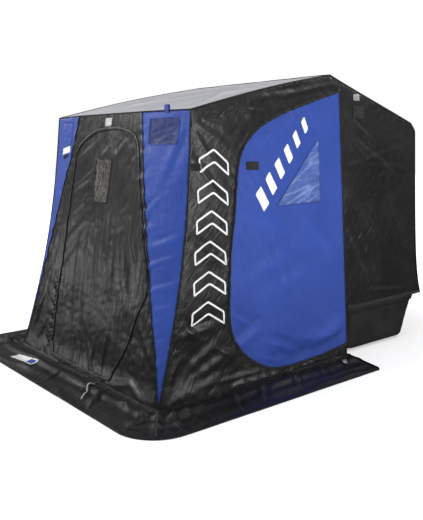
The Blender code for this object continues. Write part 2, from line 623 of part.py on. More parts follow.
def make_seat(side, sign, materials):
    x, y = sign * SEAT_X, SEAT_Y
    make_seat_base(side, x, materials)
    hinge_y = y + BACK_PIVOT_Y

    def pin_bmesh(half_x, radius):
        return rod_bmesh((x - half_x, hinge_y, BACK_PIVOT_Z), (x + half_x, hinge_y, BACK_PIVOT_Z), radius, 12)

    swivel = add_axis(f"axis_swivel_{side}", (x, y, SEAT_PAN_Z))
    pan_top = SEAT_PAN_Z + SEAT_PAN_H
    pan_mesh = rounded_slab((x, y), SEAT_HALF_X, SEAT_HALF_Y, SEAT_PAN_Z, pan_top, 0.028)
    pan = add_object(f"seat_pan_{side}", pan_mesh, materials["seat_plastic"], swivel)
    for index, arm_sign in enumerate((-1, 1)):
        arm_x = x + arm_sign * ARM_X
        arm = box_bmesh((arm_x - ARM_HALF, hinge_y - 0.045, SEAT_PAN_Z + 0.009),
                        (arm_x + ARM_HALF, hinge_y + 0.014, BACK_PIVOT_Z + 0.014))
        combine(pan, add_object(f"seat_arm_{side}_{index}", arm, materials["seat_plastic"]), "UNION")
    eye = add_object(f"seat_arm_eye_{side}", pin_bmesh(ARM_X + 0.02, SEAT_PIN_R + 0.0005), materials["seat_plastic"])
    combine(pan, eye, "DIFFERENCE")
    cushion = rounded_slab((x, y - 0.012), SEAT_HALF_X - 0.006, SEAT_HALF_Y - 0.022, pan_top + 0.0004,
                           pan_top + CUSHION_H, 0.05, 0.014)
    add_object(f"seat_cushion_{side}", cushion, materials["seat_cover"], swivel)
    add_object(f"seat_pin_{side}", pin_bmesh(ARM_X + 0.012, SEAT_PIN_R), materials["steel"], swivel)
    make_seat_back(side, (x, hinge_y, BACK_PIVOT_Z), pin_bmesh(ARM_X + 0.02, SEAT_PIN_R + 0.0006), swivel, materials)


def make_seat_back(side, pivot, bore_bmesh, swivel, materials):
    """The folding back and its pad, built lying down and then turned upright on the pin."""
    fold = add_axis(f"axis_back_{side}", pivot)
    fold.parent = swivel
    fold.matrix_parent_inverse = swivel.matrix_world.inverted()
    bpy.context.view_layer.update()
    upright = Matrix.Translation(pivot) @ Matrix.Rotation(math.radians(90), 4, "X")
    half = BACK_HEIGHT / 2
    board = rounded_slab((0.0, half - 0.012), BACK_HALF_X, half, -0.010, 0.010, 0.04, 0.003)
    bmesh.ops.transform(board, matrix=upright, verts=board.verts)
    back = add_object(f"seat_back_{side}", board, materials["seat_plastic"], fold)
    combine(back, add_object(f"seat_back_bore_{side}", bore_bmesh, materials["seat_plastic"]), "DIFFERENCE")
    pad = rounded_slab((0.0, half + 0.006), BACK_PAD_HALF_X, half - 0.024, 0.0104, 0.0104 + BACK_PAD_H, 0.04, 0.012)
    bmesh.ops.transform(pad, matrix=upright, verts=pad.verts)
    add_object(f"seat_back_pad_{side}", pad, materials["seat_cover"], fold)


def main():
    for obj in list(bpy.data.objects):
        bpy.data.objects.remove(obj)
    materials = {
        "polyethylene": make_material("polyethylene", (0.027, 0.026, 0.028), 0.45),
        "runner": make_material("runner", (0.02, 0.02, 0.02), 0.5),
        "aluminium": make_material("aluminium", (0.62, 0.63, 0.65), 0.35, 1.0),
        "steel": make_material("steel", (0.45, 0.46, 0.48), 0.35, 1.0),
        "nylon": make_material("nylon", (0.6, 0.6, 0.58), 0.5),
        "black_cloth": make_material("black_cloth", (0.018, 0.017, 0.019), 0.6),
        "blue_cloth": make_material("blue_cloth", (0.045, 0.085, 0.40), 0.6),
        "silver_cloth": make_material("silver_cloth", (0.62, 0.62, 0.68), 0.45),
        "grey_vinyl": make_material("grey_vinyl", (0.16, 0.145, 0.125), 0.2),
        "blue_vinyl": make_material("blue_vinyl", (0.06, 0.10, 0.42), 0.2),
        "clear_vinyl": make_material("clear_vinyl", (0.16, 0.26, 0.62), 0.15),
        "seat_plastic": make_material("seat_plastic", (0.02, 0.02, 0.022), 0.5),
        "seat_cover": make_material("seat_cover", (0.05, 0.05, 0.055), 0.7),
    }
    make_sled(materials)
    bow_axes = {bow: add_axis(f"axis_{bow}_bow", (0.0, PIVOT_Y, PIVOT_Z)) for bow in BOWS}
    for side, sign in SIDES.items():
        make_pivot(side, sign, materials)
        make_seat(side, sign, materials)
    for bow in BOWS:
        make_bow(bow, materials, bow_axes[bow])
    front_door_axis = add_axis("axis_front_door", (FRONT_DOOR[0][0], front_y(*FRONT_DOOR[0]), FRONT_DOOR[0][1]))
    side_door_axes = {
        side: add_axis(f"axis_side_door_{side}", (sign * side_x(HINGE_Y, 0.09), HINGE_Y, 0.09))
        for side, sign in SIDES.items()
    }
    make_front(materials, bow_axes["front"], front_door_axis)
    make_sides(materials, bow_axes["front"], bow_axes["rear"], side_door_axes)
    make_roof_and_rear(materials, bow_axes["front"], bow_axes["rear"])
    make_skirt(materials, bow_axes["front"])


main()
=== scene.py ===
"""Two-person flip-over ice fishing shelter: the looks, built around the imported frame.

Metres, in the frame's axes: the front door faces -Y, the sled lies at +Y, X is the width, +Z is up.
Each face of the cover is a drape: a smooth surface with the folds of its cloth. Panels, bindings,
zips, stitches and patches are all cut from the drapes by their flat pattern, so they fit each other.
"""
import json
import math

import bmesh
import bpy
import numpy as np
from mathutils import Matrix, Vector
from mathutils.geometry import delaunay_2d_cdt

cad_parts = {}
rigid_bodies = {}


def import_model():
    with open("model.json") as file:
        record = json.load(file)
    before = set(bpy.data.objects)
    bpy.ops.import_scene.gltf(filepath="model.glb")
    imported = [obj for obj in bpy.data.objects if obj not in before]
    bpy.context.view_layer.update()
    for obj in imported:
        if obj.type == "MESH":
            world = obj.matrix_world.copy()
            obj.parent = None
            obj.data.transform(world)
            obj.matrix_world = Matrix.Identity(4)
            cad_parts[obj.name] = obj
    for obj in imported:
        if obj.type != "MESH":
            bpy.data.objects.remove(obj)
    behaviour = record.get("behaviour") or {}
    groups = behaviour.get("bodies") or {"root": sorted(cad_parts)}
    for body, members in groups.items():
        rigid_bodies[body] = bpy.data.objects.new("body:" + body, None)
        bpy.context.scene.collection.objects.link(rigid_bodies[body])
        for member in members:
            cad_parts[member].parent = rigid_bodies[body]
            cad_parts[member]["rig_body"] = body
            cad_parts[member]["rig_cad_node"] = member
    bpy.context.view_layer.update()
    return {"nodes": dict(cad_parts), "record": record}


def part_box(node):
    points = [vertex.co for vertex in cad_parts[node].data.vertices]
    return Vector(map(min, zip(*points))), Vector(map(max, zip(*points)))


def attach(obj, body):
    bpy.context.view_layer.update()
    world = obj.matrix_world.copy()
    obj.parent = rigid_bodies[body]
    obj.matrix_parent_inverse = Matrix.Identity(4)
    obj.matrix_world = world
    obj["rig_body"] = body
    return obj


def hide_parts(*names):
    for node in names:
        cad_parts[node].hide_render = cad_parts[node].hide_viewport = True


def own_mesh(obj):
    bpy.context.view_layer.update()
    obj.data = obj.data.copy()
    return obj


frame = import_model()

# The cover's surfaces, as in the CAD model
HALF_WIDTH, SIDE_LEAN, RIDGE_PINCH = 0.897, 0.0523, 0.056
FRONT_GROUND_Y, FRONT_LEAN, FRONT_TOP_Z = -1.137, 0.1534, 1.721
FRONT_CORNER_Y, CORNER_BULGE, CORNER_TOP_SETBACK = -0.815, 0.060, 0.058
SEAM_TOP_X = 0.394
RIDGE_Y, RIDGE_Z, FRONT_ROOF_CROWN = 0.46, 2.0, 0.016
REAR_ROOF_SLOPE, EAVE_Y, EAVE_SLOPE = 0.345, 1.36, 1.1
REAR_WALL_Y, REAR_FLARE, SLED_RIM_Z = 1.41, 0.0665, 0.35
HINGE_Y = 0.555
SIDES = {"left": -1, "right": 1}

# Outlines: side doors as (y, z), front door and its window as (x, z); a door's last edge is its hinge
SIDE_DOOR = [
    (HINGE_Y, 0.090), (0.35, 0.066), (0.17, 0.053), (-0.06, 0.048), (-0.21, 0.065), (-0.32, 0.106),
    (-0.43, 0.180), (-0.51, 0.262), (-0.555, 0.355), (-0.573, 0.470), (-0.567, 0.661), (-0.545, 0.869),
    (-0.512, 1.060), (-0.480, 1.282), (-0.460, 1.390), (-0.425, 1.480), (-0.360, 1.560), (-0.244, 1.640),
    (-0.110, 1.697), (0.03, 1.745), (0.34, 1.835), (HINGE_Y, 1.893),
]
FRONT_DOOR = [
    (-0.455, 0.120), (-0.420, 0.060), (-0.360, 0.040), (0.300, 0.040), (0.380, 0.110), (0.500, 0.290),
    (0.570, 0.480), (0.640, 0.620), (0.640, 0.700), (0.560, 0.930), (0.475, 1.200), (0.415, 1.420),
    (0.375, 1.530), (0.300, 1.590), (0.156, 1.622), (-0.030, 1.622), (-0.150, 1.604), (-0.250, 1.565),
    (-0.330, 1.520), (-0.375, 1.470),
]
SIDE_WINDOW = [(-0.128, 1.128), (0.318, 1.138), (0.309, 1.554)]
FRONT_WINDOW = [(-0.085, 1.143), (0.085, 1.143), (0.104, 1.428), (-0.096, 1.428)]
CORNER_WINDOW = [(0.490, 1.520), (0.728, 1.520), (0.722, 1.674), (0.483, 1.674)]

# The skirt's outline, and the middle of the shelter on the ground
SKIRT_FRONT_Y, SKIRT_SIDE_X, SKIRT_REAR_Y, SKIRT_CORNER_R = -1.475, 1.255, 0.49, 0.26
SHELTER_MIDDLE = (0.0, -0.3)

CLOTH = 0.0016                # thickness of the cloth shown
GRAIN = 0.013  # spacing of a panel's points
RIM_GAP = 0.55                # inner points stay this many grains from a panel's rim
RIM_BATCH = 64                # rim points measured at a time
FOLD_LEVEL, FOLD_RANGE = 0.002, 0.036  # fold height with neither painted shade nor painted highlight, and the height range from full painted shade in hollows to full painted highlight on ridges
CRINKLE_RANGE = 0.008         # the same range for a window's crinkles, whose ridges get a painted highlight
HEM_Z = 0.0045
TOP_Z = FRONT_TOP_Z - 0.003
EDGE = 0.0012                 # cut edges stay this far from a seam, so that neighbours don't touch
DOOR_GAP = 0.0015             # a door's cloth ends this far inside its zip line
ON_CLOTH = 0.0008             # stitches sit this far out from the cloth
STITCH, STITCH_PITCH = (0.0042, 0.0011, 0.0011), 0.0068
TOOTH, TOOTH_PITCH = (0.0052, 0.0030, 0.0022), 0.0062
STRIP_SHARE = 0.35            # a panel that fills less of its rectangle was cut as strips
PRINTS = 6                    # printed chevrons, and printed bars, on each side
PRINT = {"grain": 0.010, "proud": 0.0011, "thick": 0.0007}
HARD_SLOTS = {"aluminium", "steel", "nylon", "runner", "seat_plastic", "polyethylene"}


# ---------------------------------------------------------------- materials

LOOKS = {}                    # name: the finished material


class Nodes:
    """A node tree. Each call adds a node and gives its output socket."""

    def __init__(self, tree):
        self.tree = tree

    def node(self, kind, inputs=(), output=0, **settings):
        made = self.tree.nodes.new("ShaderNode" + kind)
        for key, value in settings.items():
            setattr(made, key, value)
        for key, value in dict(inputs).items():
            if isinstance(value, bpy.types.NodeSocket):
                self.tree.links.new(value, made.inputs[key])
            else:
                made.inputs[key].default_value = value
        return made.outputs[output]

    def math(self, operation, first, second=0.0):
        return self.node("Math", {0: first, 1: second}, operation=operation)

    def place(self, scale=(1, 1, 1), pattern=False, turn=0.0):
        """Turned coordinates in metres times scale: the cloth's flat pattern, or the object's own space."""
        start = self.node("UVMap", uv_map="pattern") if pattern else self.node("TexCoord", output="Object")
        return self.node("Mapping", {"Vector": start, "Scale": [1.0 / s for s in scale],
                                     "Rotation": (0.0, 0.0, math.radians(turn))}, vector_type="TEXTURE")

    def noise(self, where, scale, detail=3.0, roughness=0.55):
        inputs = {"Vector": where, "Scale": scale, "Detail": detail, "Roughness": roughness}
        return self.node("TexNoise", inputs, output="Fac")

    def range(self, value, low, high, start=0.3, end=0.7):
        """value from start to end, spread over low to high."""
        return self.node("MapRange", {"Value": value, "From Min": start, "From Max": end,
                                      "To Min": low, "To Max": high})

    def mix(self, share, first, second):
        return self.node("Mix", {0: share, 6: first, 7: second}, output=2, data_type="RGBA")

    def wave(self, where, axis, pitch):
        """A sine along one axis."""
        turns = self.math("MULTIPLY", self.node("SeparateXYZ", {0: where}, output=axis), 2 * math.pi / pitch)
        return self.math("SINE", turns)

    def bump(self, height, distance, strength=1.0, below=None):
        inputs = {"Height": height, "Distance": distance, "Strength": strength}
        if below is not None:
            inputs["Normal"] = below
        return self.node("Bump", inputs, output="Normal")


class Shader(Nodes):
    """A Principled material whose sockets are set to constants here and linked by its own recipe."""

    def __init__(self, name, **constants):
        self.name, self.material = name, bpy.data.materials.new(name)
        self.material.use_nodes = True
        super().__init__(self.material.node_tree)
        self.bsdf = self.tree.nodes["Principled BSDF"]
        for socket, value in constants.items():
            self.bsdf.inputs[socket.replace("_", " ")].default_value = value

    def link(self, socket, output):
        self.tree.links.new(output, self.bsdf.inputs[socket])

    def finish(self, tone, rough, normal):
        """Links what varies over the surface, and keeps the material as the look of its name."""
        self.link("Base Color", tone)
        self.link("Roughness", rough)
        self.link("Normal", normal)
        LOOKS[self.name] = self.material


def rgba(colour, gain=1.0):
    return (*[c * gain for c in colour], 1.0)


def fabric(name, colour, rough, thread=0.0011, wear_and_ridge_highlight=1.9, sheen=0.1, spread=0.16, crinkle=0.0016,
           specular=0.35, lines=(26.0, 5.0), turn=-40.0, drawn=0.0015):
    """Coated woven polyester: crossing threads, crinkles, drawn lines, a painted highlight on fold ridges,
    painted shade in fold hollows, patchy gloss.
    """
    made = Shader(name, Specular_IOR_Level=specular, Sheen_Weight=sheen, Sheen_Roughness=0.45)
    cloth = made.place(pattern=True)
    weave = made.math("MULTIPLY", made.wave(cloth, 0, thread), made.wave(cloth, 1, thread))
    patches = made.noise(cloth, 2.6, 4.0)
    fibres = made.noise(made.place((9.0, 260.0, 1.0), pattern=True), 1.0, 2.0)
    slub = made.noise(made.place((260.0, 9.0, 1.0), pattern=True), 1.0, 2.0)
    folds = made.noise(cloth, 21.0, 3.0, 0.42)
    relief = made.node("Attribute", attribute_name="relief", output="Fac")
    tone = made.mix(made.range(patches, 0.0, 1.0), rgba(colour, 1 - spread), rgba(colour, 1 + spread))
    tone = made.mix(made.range(made.math("ADD", fibres, slub), 0.0, 0.35, 0.7, 1.3), tone, rgba(colour, 1.5))
    # painted highlight: cloth on fold ridges (relief above its mid value) is painted lighter
    tone = made.mix(made.range(relief, 0.0, 0.30, 0.5, 1.0), tone, rgba(colour, wear_and_ridge_highlight))
    # painted shade: cloth in fold hollows (relief below its mid value) is painted darker
    tone = made.mix(made.range(relief, 0.45, 0.0, 0.0, 0.5), tone, rgba(colour, 0.45))
    tone = made.mix(made.range(weave, 0.0, 0.18, -1.0, 1.0), tone, rgba(colour, 0.6))
    uneven = made.math("ADD", patches, made.math("MULTIPLY", folds, 0.5))
    gloss = made.range(uneven, rough - 0.07, rough + 0.10, 0.5, 1.1)
    pulled = made.noise(made.place((*lines, 1.0), pattern=True, turn=turn), 1.0, 2.0, 0.4)
    sharp = made.range(made.math("ABSOLUTE", made.math("SUBTRACT", pulled, 0.5)), 0.4, 0.0, 0.0, 0.07)
    soft = made.bump(made.math("ADD", pulled, sharp), drawn, below=made.bump(folds, crinkle))
    made.finish(tone, gloss, made.bump(weave, 0.00012, 0.22, below=soft))


def film(name, colour, glints, rough=0.16, crinkle=0.0016, scale=(1, 1, 1), turn=0.0, haze_and_glints=0.35, coat=0.35,
         specular=0.5):
    """Window vinyl: gloss with crinkles, streaks along them that are part milky haze and part painted glint,
    a painted highlight (glints) on the crinkles' ridges, and scratches.
    """
    made = Shader(name, Specular_IOR_Level=specular, Coat_Weight=coat, Coat_Roughness=0.10)
    cloth = made.place(scale, pattern=True, turn=turn)
    warped = made.noise(cloth, 9.0, 4.0, 0.6)
    streaks = made.node("TexWave", {"Vector": cloth, "Scale": 5.0, "Distortion": 14.0, "Detail": 3.0,
                                    "Detail Scale": 2.2}, output="Fac", bands_direction="DIAGONAL")
    scratches = made.noise(made.place((14.0, 340.0, 1.0), pattern=True), 1.0, 1.0)
    tone = made.mix(made.range(warped, 0.0, 1.0, 0.30, 0.70), rgba(colour, 0.80), rgba(colour, 1.20))
    # streaks painted towards the glint colour: part milky haze, part painted glint
    tone = made.mix(made.range(streaks, 0.0, haze_and_glints, 0.80, 1.0), tone, rgba(glints))
    # painted highlight: the crinkles' ridges are painted in the glint colour
    ridges = made.node("Attribute", attribute_name="relief", output="Fac")
    tone = made.mix(made.range(ridges, 0.0, 0.9, 0.60, 1.0), tone, rgba(glints))
    relief = made.math("ADD", warped, made.math("MULTIPLY", streaks, 0.15))
    gloss = made.range(scratches, rough, rough + 0.22, 0.45, 0.75)
    made.finish(tone, gloss, made.bump(relief, crinkle))


def moulded(name, colour, rough, worn, pebble=0.0009, pebble_scale=220.0):
    """Moulded plastic: a pebbled skin, scuffs, and pale wear where edges rub."""
    made = Shader(name, Metallic=0.0, Specular_IOR_Level=0.4)
    where = made.place()
    pebbles = made.noise(where, pebble_scale, 2.0)
    clouds = made.noise(where, 5.0, 5.0)
    scuffs = made.noise(made.place((3.0, 40.0, 60.0)), 1.0, 4.0, 0.7)
    edge = made.range(made.node("NewGeometry", output="Pointiness"), 0.0, 0.8, 0.53, 0.62)
    tone = made.mix(made.range(clouds, 0.0, 1.0), rgba(colour, 0.85), rgba(colour, 1.18))
    tone = made.mix(made.range(scuffs, 0.0, 0.35, 0.56, 0.75), tone, rgba(worn))
    tone = made.mix(made.math("MULTIPLY", edge, made.range(clouds, 0.1, 1.0)), tone, rgba(worn, 1.5))
    gloss = made.range(made.math("ADD", clouds, scuffs), rough - 0.08, rough + 0.12, 0.7, 1.3)
    made.finish(tone, gloss, made.bump(pebbles, pebble))


def metal(name, colour, rough, grain=(4.0, 4.0, 900.0)):
    """Drawn or brushed metal: fine lines along one axis and cloudy tarnish."""
    made = Shader(name, Metallic=1.0)
    lines = made.noise(made.place(grain), 1.0, 3.0)
    clouds = made.noise(made.place(), 11.0, 4.0)
    tone = made.mix(made.range(clouds, 0.0, 1.0), rgba(colour, 0.80), rgba(colour, 1.10))
    tone = made.mix(made.range(lines, 0.0, 0.3), tone, rgba(colour, 0.6))
    gloss = made.range(made.math("ADD", clouds, lines), rough - 0.08, rough + 0.14, 0.7, 1.3)
    made.finish(tone, gloss, made.bump(lines, 0.00008))


def tape(name, colour, rough, rib=0.0025):
    """Webbing, zip tape and hook-and-loop: ribs across the band, fuzz and uneven dye."""
    made = Shader(name, Specular_IOR_Level=0.3, Sheen_Weight=0.15, Sheen_Roughness=0.4)
    ribs = made.wave(made.place(pattern=True), 0, rib)
    fuzz = made.noise(made.place(), 420.0, 3.0)
    dye = made.noise(made.place(), 14.0, 3.0)
    tone = made.mix(made.range(dye, 0.0, 1.0), rgba(colour, 0.82), rgba(colour, 1.2))
    tone = made.mix(made.range(ribs, 0.0, 0.35, -1.0, 1.0), tone, rgba(colour, 0.55))
    relief = made.bump(made.math("ADD", ribs, fuzz), 0.0004)
    made.finish(tone, made.range(fuzz, rough - 0.08, rough + 0.1), relief)


def reflector(name):
    """Retro-reflective tape: a grid of small cells in silver, rubbed dull in places."""
    made = Shader(name, Metallic=0.7, Coat_Weight=0.4, Coat_Roughness=0.15)
    cells = made.node("TexVoronoi", {"Vector": made.place(pattern=True), "Scale": 260.0, "Randomness": 0.0},
                      output="Distance")
    wear_and_ridge_highlight = made.noise(made.place(), 60.0, 4.0)
    tone = made.mix(made.range(cells, 0.0, 1.0, 0.2, 0.6), rgba((0.62, 0.63, 0.64)), rgba((0.34, 0.35, 0.36)))
    tone = made.mix(made.range(wear_and_ridge_highlight, 0.0, 0.6, 0.5, 0.75), tone, rgba((0.2, 0.2, 0.2)))
    made.finish(tone, made.range(wear_and_ridge_highlight, 0.22, 0.5), made.bump(cells, 0.0006))


BLACK, BLUE, SILVER = (0.0090, 0.0087, 0.0096), (0.022, 0.058, 0.300), (0.54, 0.54, 0.60)
fabric("black_cloth", BLACK, 0.35, sheen=0.02, crinkle=0.0015, specular=0.5)
fabric("hung_cloth", BLACK, 0.33, sheen=0.02, crinkle=0.0011, specular=0.55, lines=(30.0, 1.6),
       turn=-1.0)
# the skirt's fold ridges get a slightly stronger painted highlight
fabric("skirt_cloth", BLACK, 0.40, sheen=0.0, wear_and_ridge_highlight=2.0, crinkle=0.0020, thread=0.0014, specular=0.25,
       lines=(14.0, 4.0), turn=25.0, drawn=0.0026)
fabric("blue_cloth", BLUE, 0.46, sheen=0.06, spread=0.08, crinkle=0.0014, specular=0.25,
       lines=(16.0, 4.0), turn=22.0, drawn=0.0022)
fabric("silver_cloth", SILVER, 0.36, sheen=0.03, spread=0.05, specular=0.6, lines=(14.0, 2.0), turn=12.0,
       drawn=0.0050)
fabric("seat_cloth", (0.05, 0.05, 0.055), 0.55)
# each film's second colour is its painted glint highlight colour
film("grey_vinyl", (0.036, 0.033, 0.029), (0.55, 0.53, 0.48), 0.24, 0.0007, (6.0, 1.0, 1.0))
film("blue_vinyl", (0.008, 0.022, 0.115), (0.03, 0.07, 0.26), 0.45, scale=(5.0, 1.0, 1.0), coat=0.02,
     specular=0.25)
film("clear_vinyl", (0.062, 0.115, 0.35), (0.24, 0.33, 0.62), 0.22, scale=(0.7, 2.5, 1.0), turn=18.0,
     haze_and_glints=0.25)
moulded("polyethylene", (0.014, 0.013, 0.0145), 0.50, (0.035, 0.034, 0.034))
moulded("runner", (0.014, 0.014, 0.015), 0.45, (0.04, 0.04, 0.04), 0.0004)
moulded("nylon", (0.60, 0.60, 0.57), 0.45, (0.4, 0.39, 0.36), 0.0003)
moulded("seat_plastic", (0.014, 0.014, 0.015), 0.48, (0.04, 0.04, 0.04), 0.0006, 400.0)
moulded("buckle", (0.010, 0.010, 0.011), 0.35, (0.03, 0.03, 0.03), 0.0002, 500.0)
metal("aluminium", (0.62, 0.63, 0.65), 0.34)
metal("steel", (0.45, 0.46, 0.48), 0.36, (60.0, 60.0, 60.0))
tape("binding", (0.0070, 0.0068, 0.0074), 0.55)
tape("velcro", (0.006, 0.006, 0.006), 0.85, 0.0016)
tape("blue_webbing", (0.035, 0.07, 0.42), 0.5)
tape("black_thread", (0.012, 0.0115, 0.0125), 0.5, 0.0012)
tape("blue_thread", (0.030, 0.060, 0.33), 0.5, 0.0012)
fabric("white_print", (0.80, 0.80, 0.80), 0.42, sheen=0.0, spread=0.04, specular=0.4)
tape("white_cord", (0.55, 0.55, 0.53), 0.6, 0.002)
reflector("reflector")


# ---------------------------------------------------------------- the cover's smooth surfaces

def side_x(y, z):
    pinch = RIDGE_PINCH * np.exp(-(((y - RIDGE_Y) / 0.75) ** 2)) * z / RIDGE_Z
    return HALF_WIDTH - SIDE_LEAN * z - pinch


def seam_x(z):
    """Seam between front wall and corner panel: it spreads to the wall's corner at the ground."""
    drop = np.maximum(0.0, 1 - z / FRONT_TOP_Z)
    return SEAM_TOP_X + (HALF_WIDTH - SEAM_TOP_X) * drop ** 1.15


def front_y(x, z):
    share = np.minimum(1.0, z / FRONT_TOP_Z)
    setback = CORNER_TOP_SETBACK * share + CORNER_BULGE * np.sin(np.pi * share)
    corner, seam = side_x(FRONT_CORNER_Y, z), seam_x(z)
    across = np.clip((np.abs(x) - seam) / np.maximum(corner - seam, 0.02), 0.0, 1.0)
    return FRONT_GROUND_Y + FRONT_LEAN * z + setback * across ** 1.4


def corner_y(z):
    return front_y(side_x(FRONT_CORNER_Y, z), z)


def roof_z(x, y):
    rear = (RIDGE_Z - REAR_ROOF_SLOPE * (np.minimum(y, EAVE_Y) - RIDGE_Y)
            - EAVE_SLOPE * np.maximum(0.0, y - EAVE_Y))
    share = np.maximum(0.0, (y - FRONT_CORNER_Y) / (RIDGE_Y - FRONT_CORNER_Y))
    front = FRONT_TOP_Z + (RIDGE_Z - FRONT_TOP_Z) * share + FRONT_ROOF_CROWN * np.sin(np.pi * share)
    return np.where(y > RIDGE_Y, rear, front) + 0.0 * x


def rear_y(x, z):
    return REAR_WALL_Y + REAR_FLARE * np.exp(-(z - SLED_RIM_Z) / 0.20) + 0.0 * x


def roof_edge_x(y):
    return side_x(y, roof_z(0.0, y))


# ---------------------------------------------------------------- folds

STEEPEST = 0.38               # height of the steepest fold as a share of its width


def smoothstep(value, low, high):
    t = np.clip((value - low) / (high - low), 0.0, 1.0)
    return t * t * (3 - 2 * t)


def noise(a, b, seed):
    """Gradient noise over a unit lattice, about -1 to 1."""
    angles = np.random.default_rng(seed).uniform(0.0, 2 * np.pi, (64, 64))
    ia, ib = np.floor(a).astype(int), np.floor(b).astype(int)
    fa, fb = a - ia, b - ib
    ga, gb = (f * f * f * (f * (f * 6 - 15) + 10) for f in (fa, fb))

    def corner(i, j):
        angle = angles[(ia + i) % 64, (ib + j) % 64]
        return np.cos(angle) * (fa - i) + np.sin(angle) * (fb - j)

    low = corner(0, 0) * (1 - ga) + corner(1, 0) * ga
    high = corner(0, 1) * (1 - ga) + corner(1, 1) * ga
    return 1.5 * (low * (1 - gb) + high * gb)


def ripples(a, b, seed, long, short, angle=0.0):
    """Noise drawn out along one direction of the cloth, at an angle in degrees from a."""
    c, s = math.cos(math.radians(angle)), math.sin(math.radians(angle))
    return noise((a * c + b * s) / long + 7.3, (b * c - a * s) / short + 3.1, seed)


def along(a, b, path):
    """Signed distance from a path, positive on its left, and the share of it passed, 0 to 1."""
    best, result, share = np.full(np.shape(a), 1e9), np.zeros(np.shape(a)), np.zeros(np.shape(a))
    lengths = [math.dist(p, q) for p, q in zip(path, path[1:])]
    done = 0.0
    for (pa, pb), (qa, qb), length in zip(path, path[1:], lengths):
        da, db = (qa - pa) / length, (qb - pb) / length
        t = np.clip((a - pa) * da + (b - pb) * db, 0.0, length)
        ea, eb = a - pa - t * da, b - pb - t * db
        distance = np.hypot(ea, eb)
        closer = distance < best
        best = np.where(closer, distance, best)
        result = np.where(closer, np.where(da * eb - db * ea >= 0, distance, -distance), result)
        share = np.where(closer, (done + t) / sum(lengths), share)
        done += length
    return result, share


def spline(path, step=0.02):
    """A smooth curve through the points of a path, at equal steps."""
    points = [np.array(p, float) for p in path]
    points = [2 * points[0] - points[1]] + points + [2 * points[-1] - points[-2]]
    dense = []
    for p0, p1, p2, p3 in zip(points, points[1:], points[2:], points[3:]):
        for t in np.linspace(0, 1, 12, endpoint=False):
            dense.append(0.5 * (2 * p1 + (p2 - p0) * t + (2 * p0 - 5 * p1 + 4 * p2 - p3) * t * t
                                + (3 * p1 - p0 - 3 * p2 + p3) * t ** 3))
    dense.append(points[-2])
    return resample(dense, step)


def resample(path, step):
    path = np.array(path, float)
    reach = np.concatenate([[0.0], np.cumsum(np.linalg.norm(np.diff(path, axis=0), axis=1))])
    marks = np.linspace(0.0, reach[-1], max(2, round(reach[-1] / step) + 1))
    return [tuple(np.interp(m, reach, path[:, k]) for k in range(path.shape[1])) for m in marks]


def crease(a, b, path, height, width, lead=0.5):
    """A fold along a path: a soft ridge with a hollow on its left, highest at lead and flat at its ends."""
    if len(path) > 2:
        path = spline(path, 0.06)
    distance, share = along(a, b, path)
    fade = np.sin(np.pi * share ** (math.log(0.5) / math.log(lead)))
    s = distance / width
    return height * fade * (np.exp(-s * s) - 0.55 * np.exp(-((s - 1.5) ** 2)))


# Folds as (path, height, width, lead): the front's in (x, z), the sides' in (y, z), the roof's in (x, y).
# The skirt's are (start, end, height, width) in (x, y); those beside the wall are mirrored.
FRONT_FOLDS = [
    ([(-0.43, 0.82), (-0.12, 1.06)], 0.007, 0.024, 0.4),
    ([(-0.42, 1.00), (-0.10, 1.23)], 0.009, 0.022, 0.4),
    ([(-0.40, 1.20), (-0.02, 1.39)], 0.009, 0.022, 0.4),
    ([(-0.39, 1.39), (-0.07, 1.56)], 0.008, 0.020, 0.4), ([(-0.12, 1.38), (0.12, 1.55)], 0.006, 0.018, 0.6),
    ([(-0.45, 0.60), (-0.20, 0.85)], 0.006, 0.026, 0.4), ([(0.38, 1.05), (0.47, 1.38)], 0.010, 0.018, 0.5),
    ([(0.53, 0.78), (0.44, 0.96), (0.50, 1.28)], 0.012, 0.022, 0.5),
    ([(0.53, 0.83), (0.56, 1.08)], 0.009, 0.016, 0.5), ([(0.59, 0.56), (0.64, 0.84)], 0.010, 0.018, 0.5),
    ([(0.10, 1.42), (0.30, 1.58)], 0.006, 0.020, 0.5), ([(0.22, 1.20), (0.42, 1.52)], 0.007, 0.022, 0.5),
    ([(0.05, 1.10), (0.10, 0.72), (0.14, 0.30)], 0.007, 0.040, 0.45),
    ([(0.17, 1.13), (0.21, 0.87), (0.26, 0.42)], 0.006, 0.036, 0.45),
    ([(-0.06, 1.06), (-0.08, 0.70), (-0.04, 0.30)], 0.006, 0.040, 0.5),
    ([(0.29, 1.10), (0.38, 0.76), (0.46, 0.46)], 0.010, 0.040, 0.5),
    ([(-0.19, 1.00), (-0.20, 0.53), (-0.16, 0.18)], 0.006, 0.040, 0.5),
    ([(-0.31, 0.95), (-0.34, 0.50), (-0.33, 0.20)], 0.005, 0.034, 0.5),
    ([(-0.17, 0.22), (-0.12, 0.02)], 0.009, 0.018, 0.6), ([(0.02, 0.26), (0.16, 0.01)], 0.012, 0.020, 0.6),
    ([(0.13, 0.30), (0.10, 0.06)], 0.008, 0.016, 0.6), ([(0.27, 0.32), (0.22, 0.06)], 0.009, 0.018, 0.5),
    ([(-0.30, 0.26), (-0.33, 0.04)], 0.009, 0.018, 0.6),
    ([(-0.06, 0.20), (-0.05, 0.02)], 0.007, 0.014, 0.6), ([(0.49, 0.13), (0.80, 0.00)], 0.012, 0.022, 0.5),
    ([(0.59, 0.48), (0.79, 0.24)], 0.012, 0.024, 0.5), ([(0.69, 0.48), (0.84, 0.10)], 0.010, 0.020, 0.5),
    ([(0.36, 0.02), (0.66, 0.10)], 0.010, 0.022, 0.5), ([(-0.62, 0.50), (-0.80, 0.12)], 0.012, 0.024, 0.5),
    ([(-0.54, 0.90), (-0.66, 0.50)], 0.010, 0.022, 0.5),
    ([(-0.49, 1.30), (-0.56, 0.95)], 0.008, 0.018, 0.5),
    ([(-0.55, 0.30), (-0.72, 0.05)], 0.010, 0.020, 0.5),
]
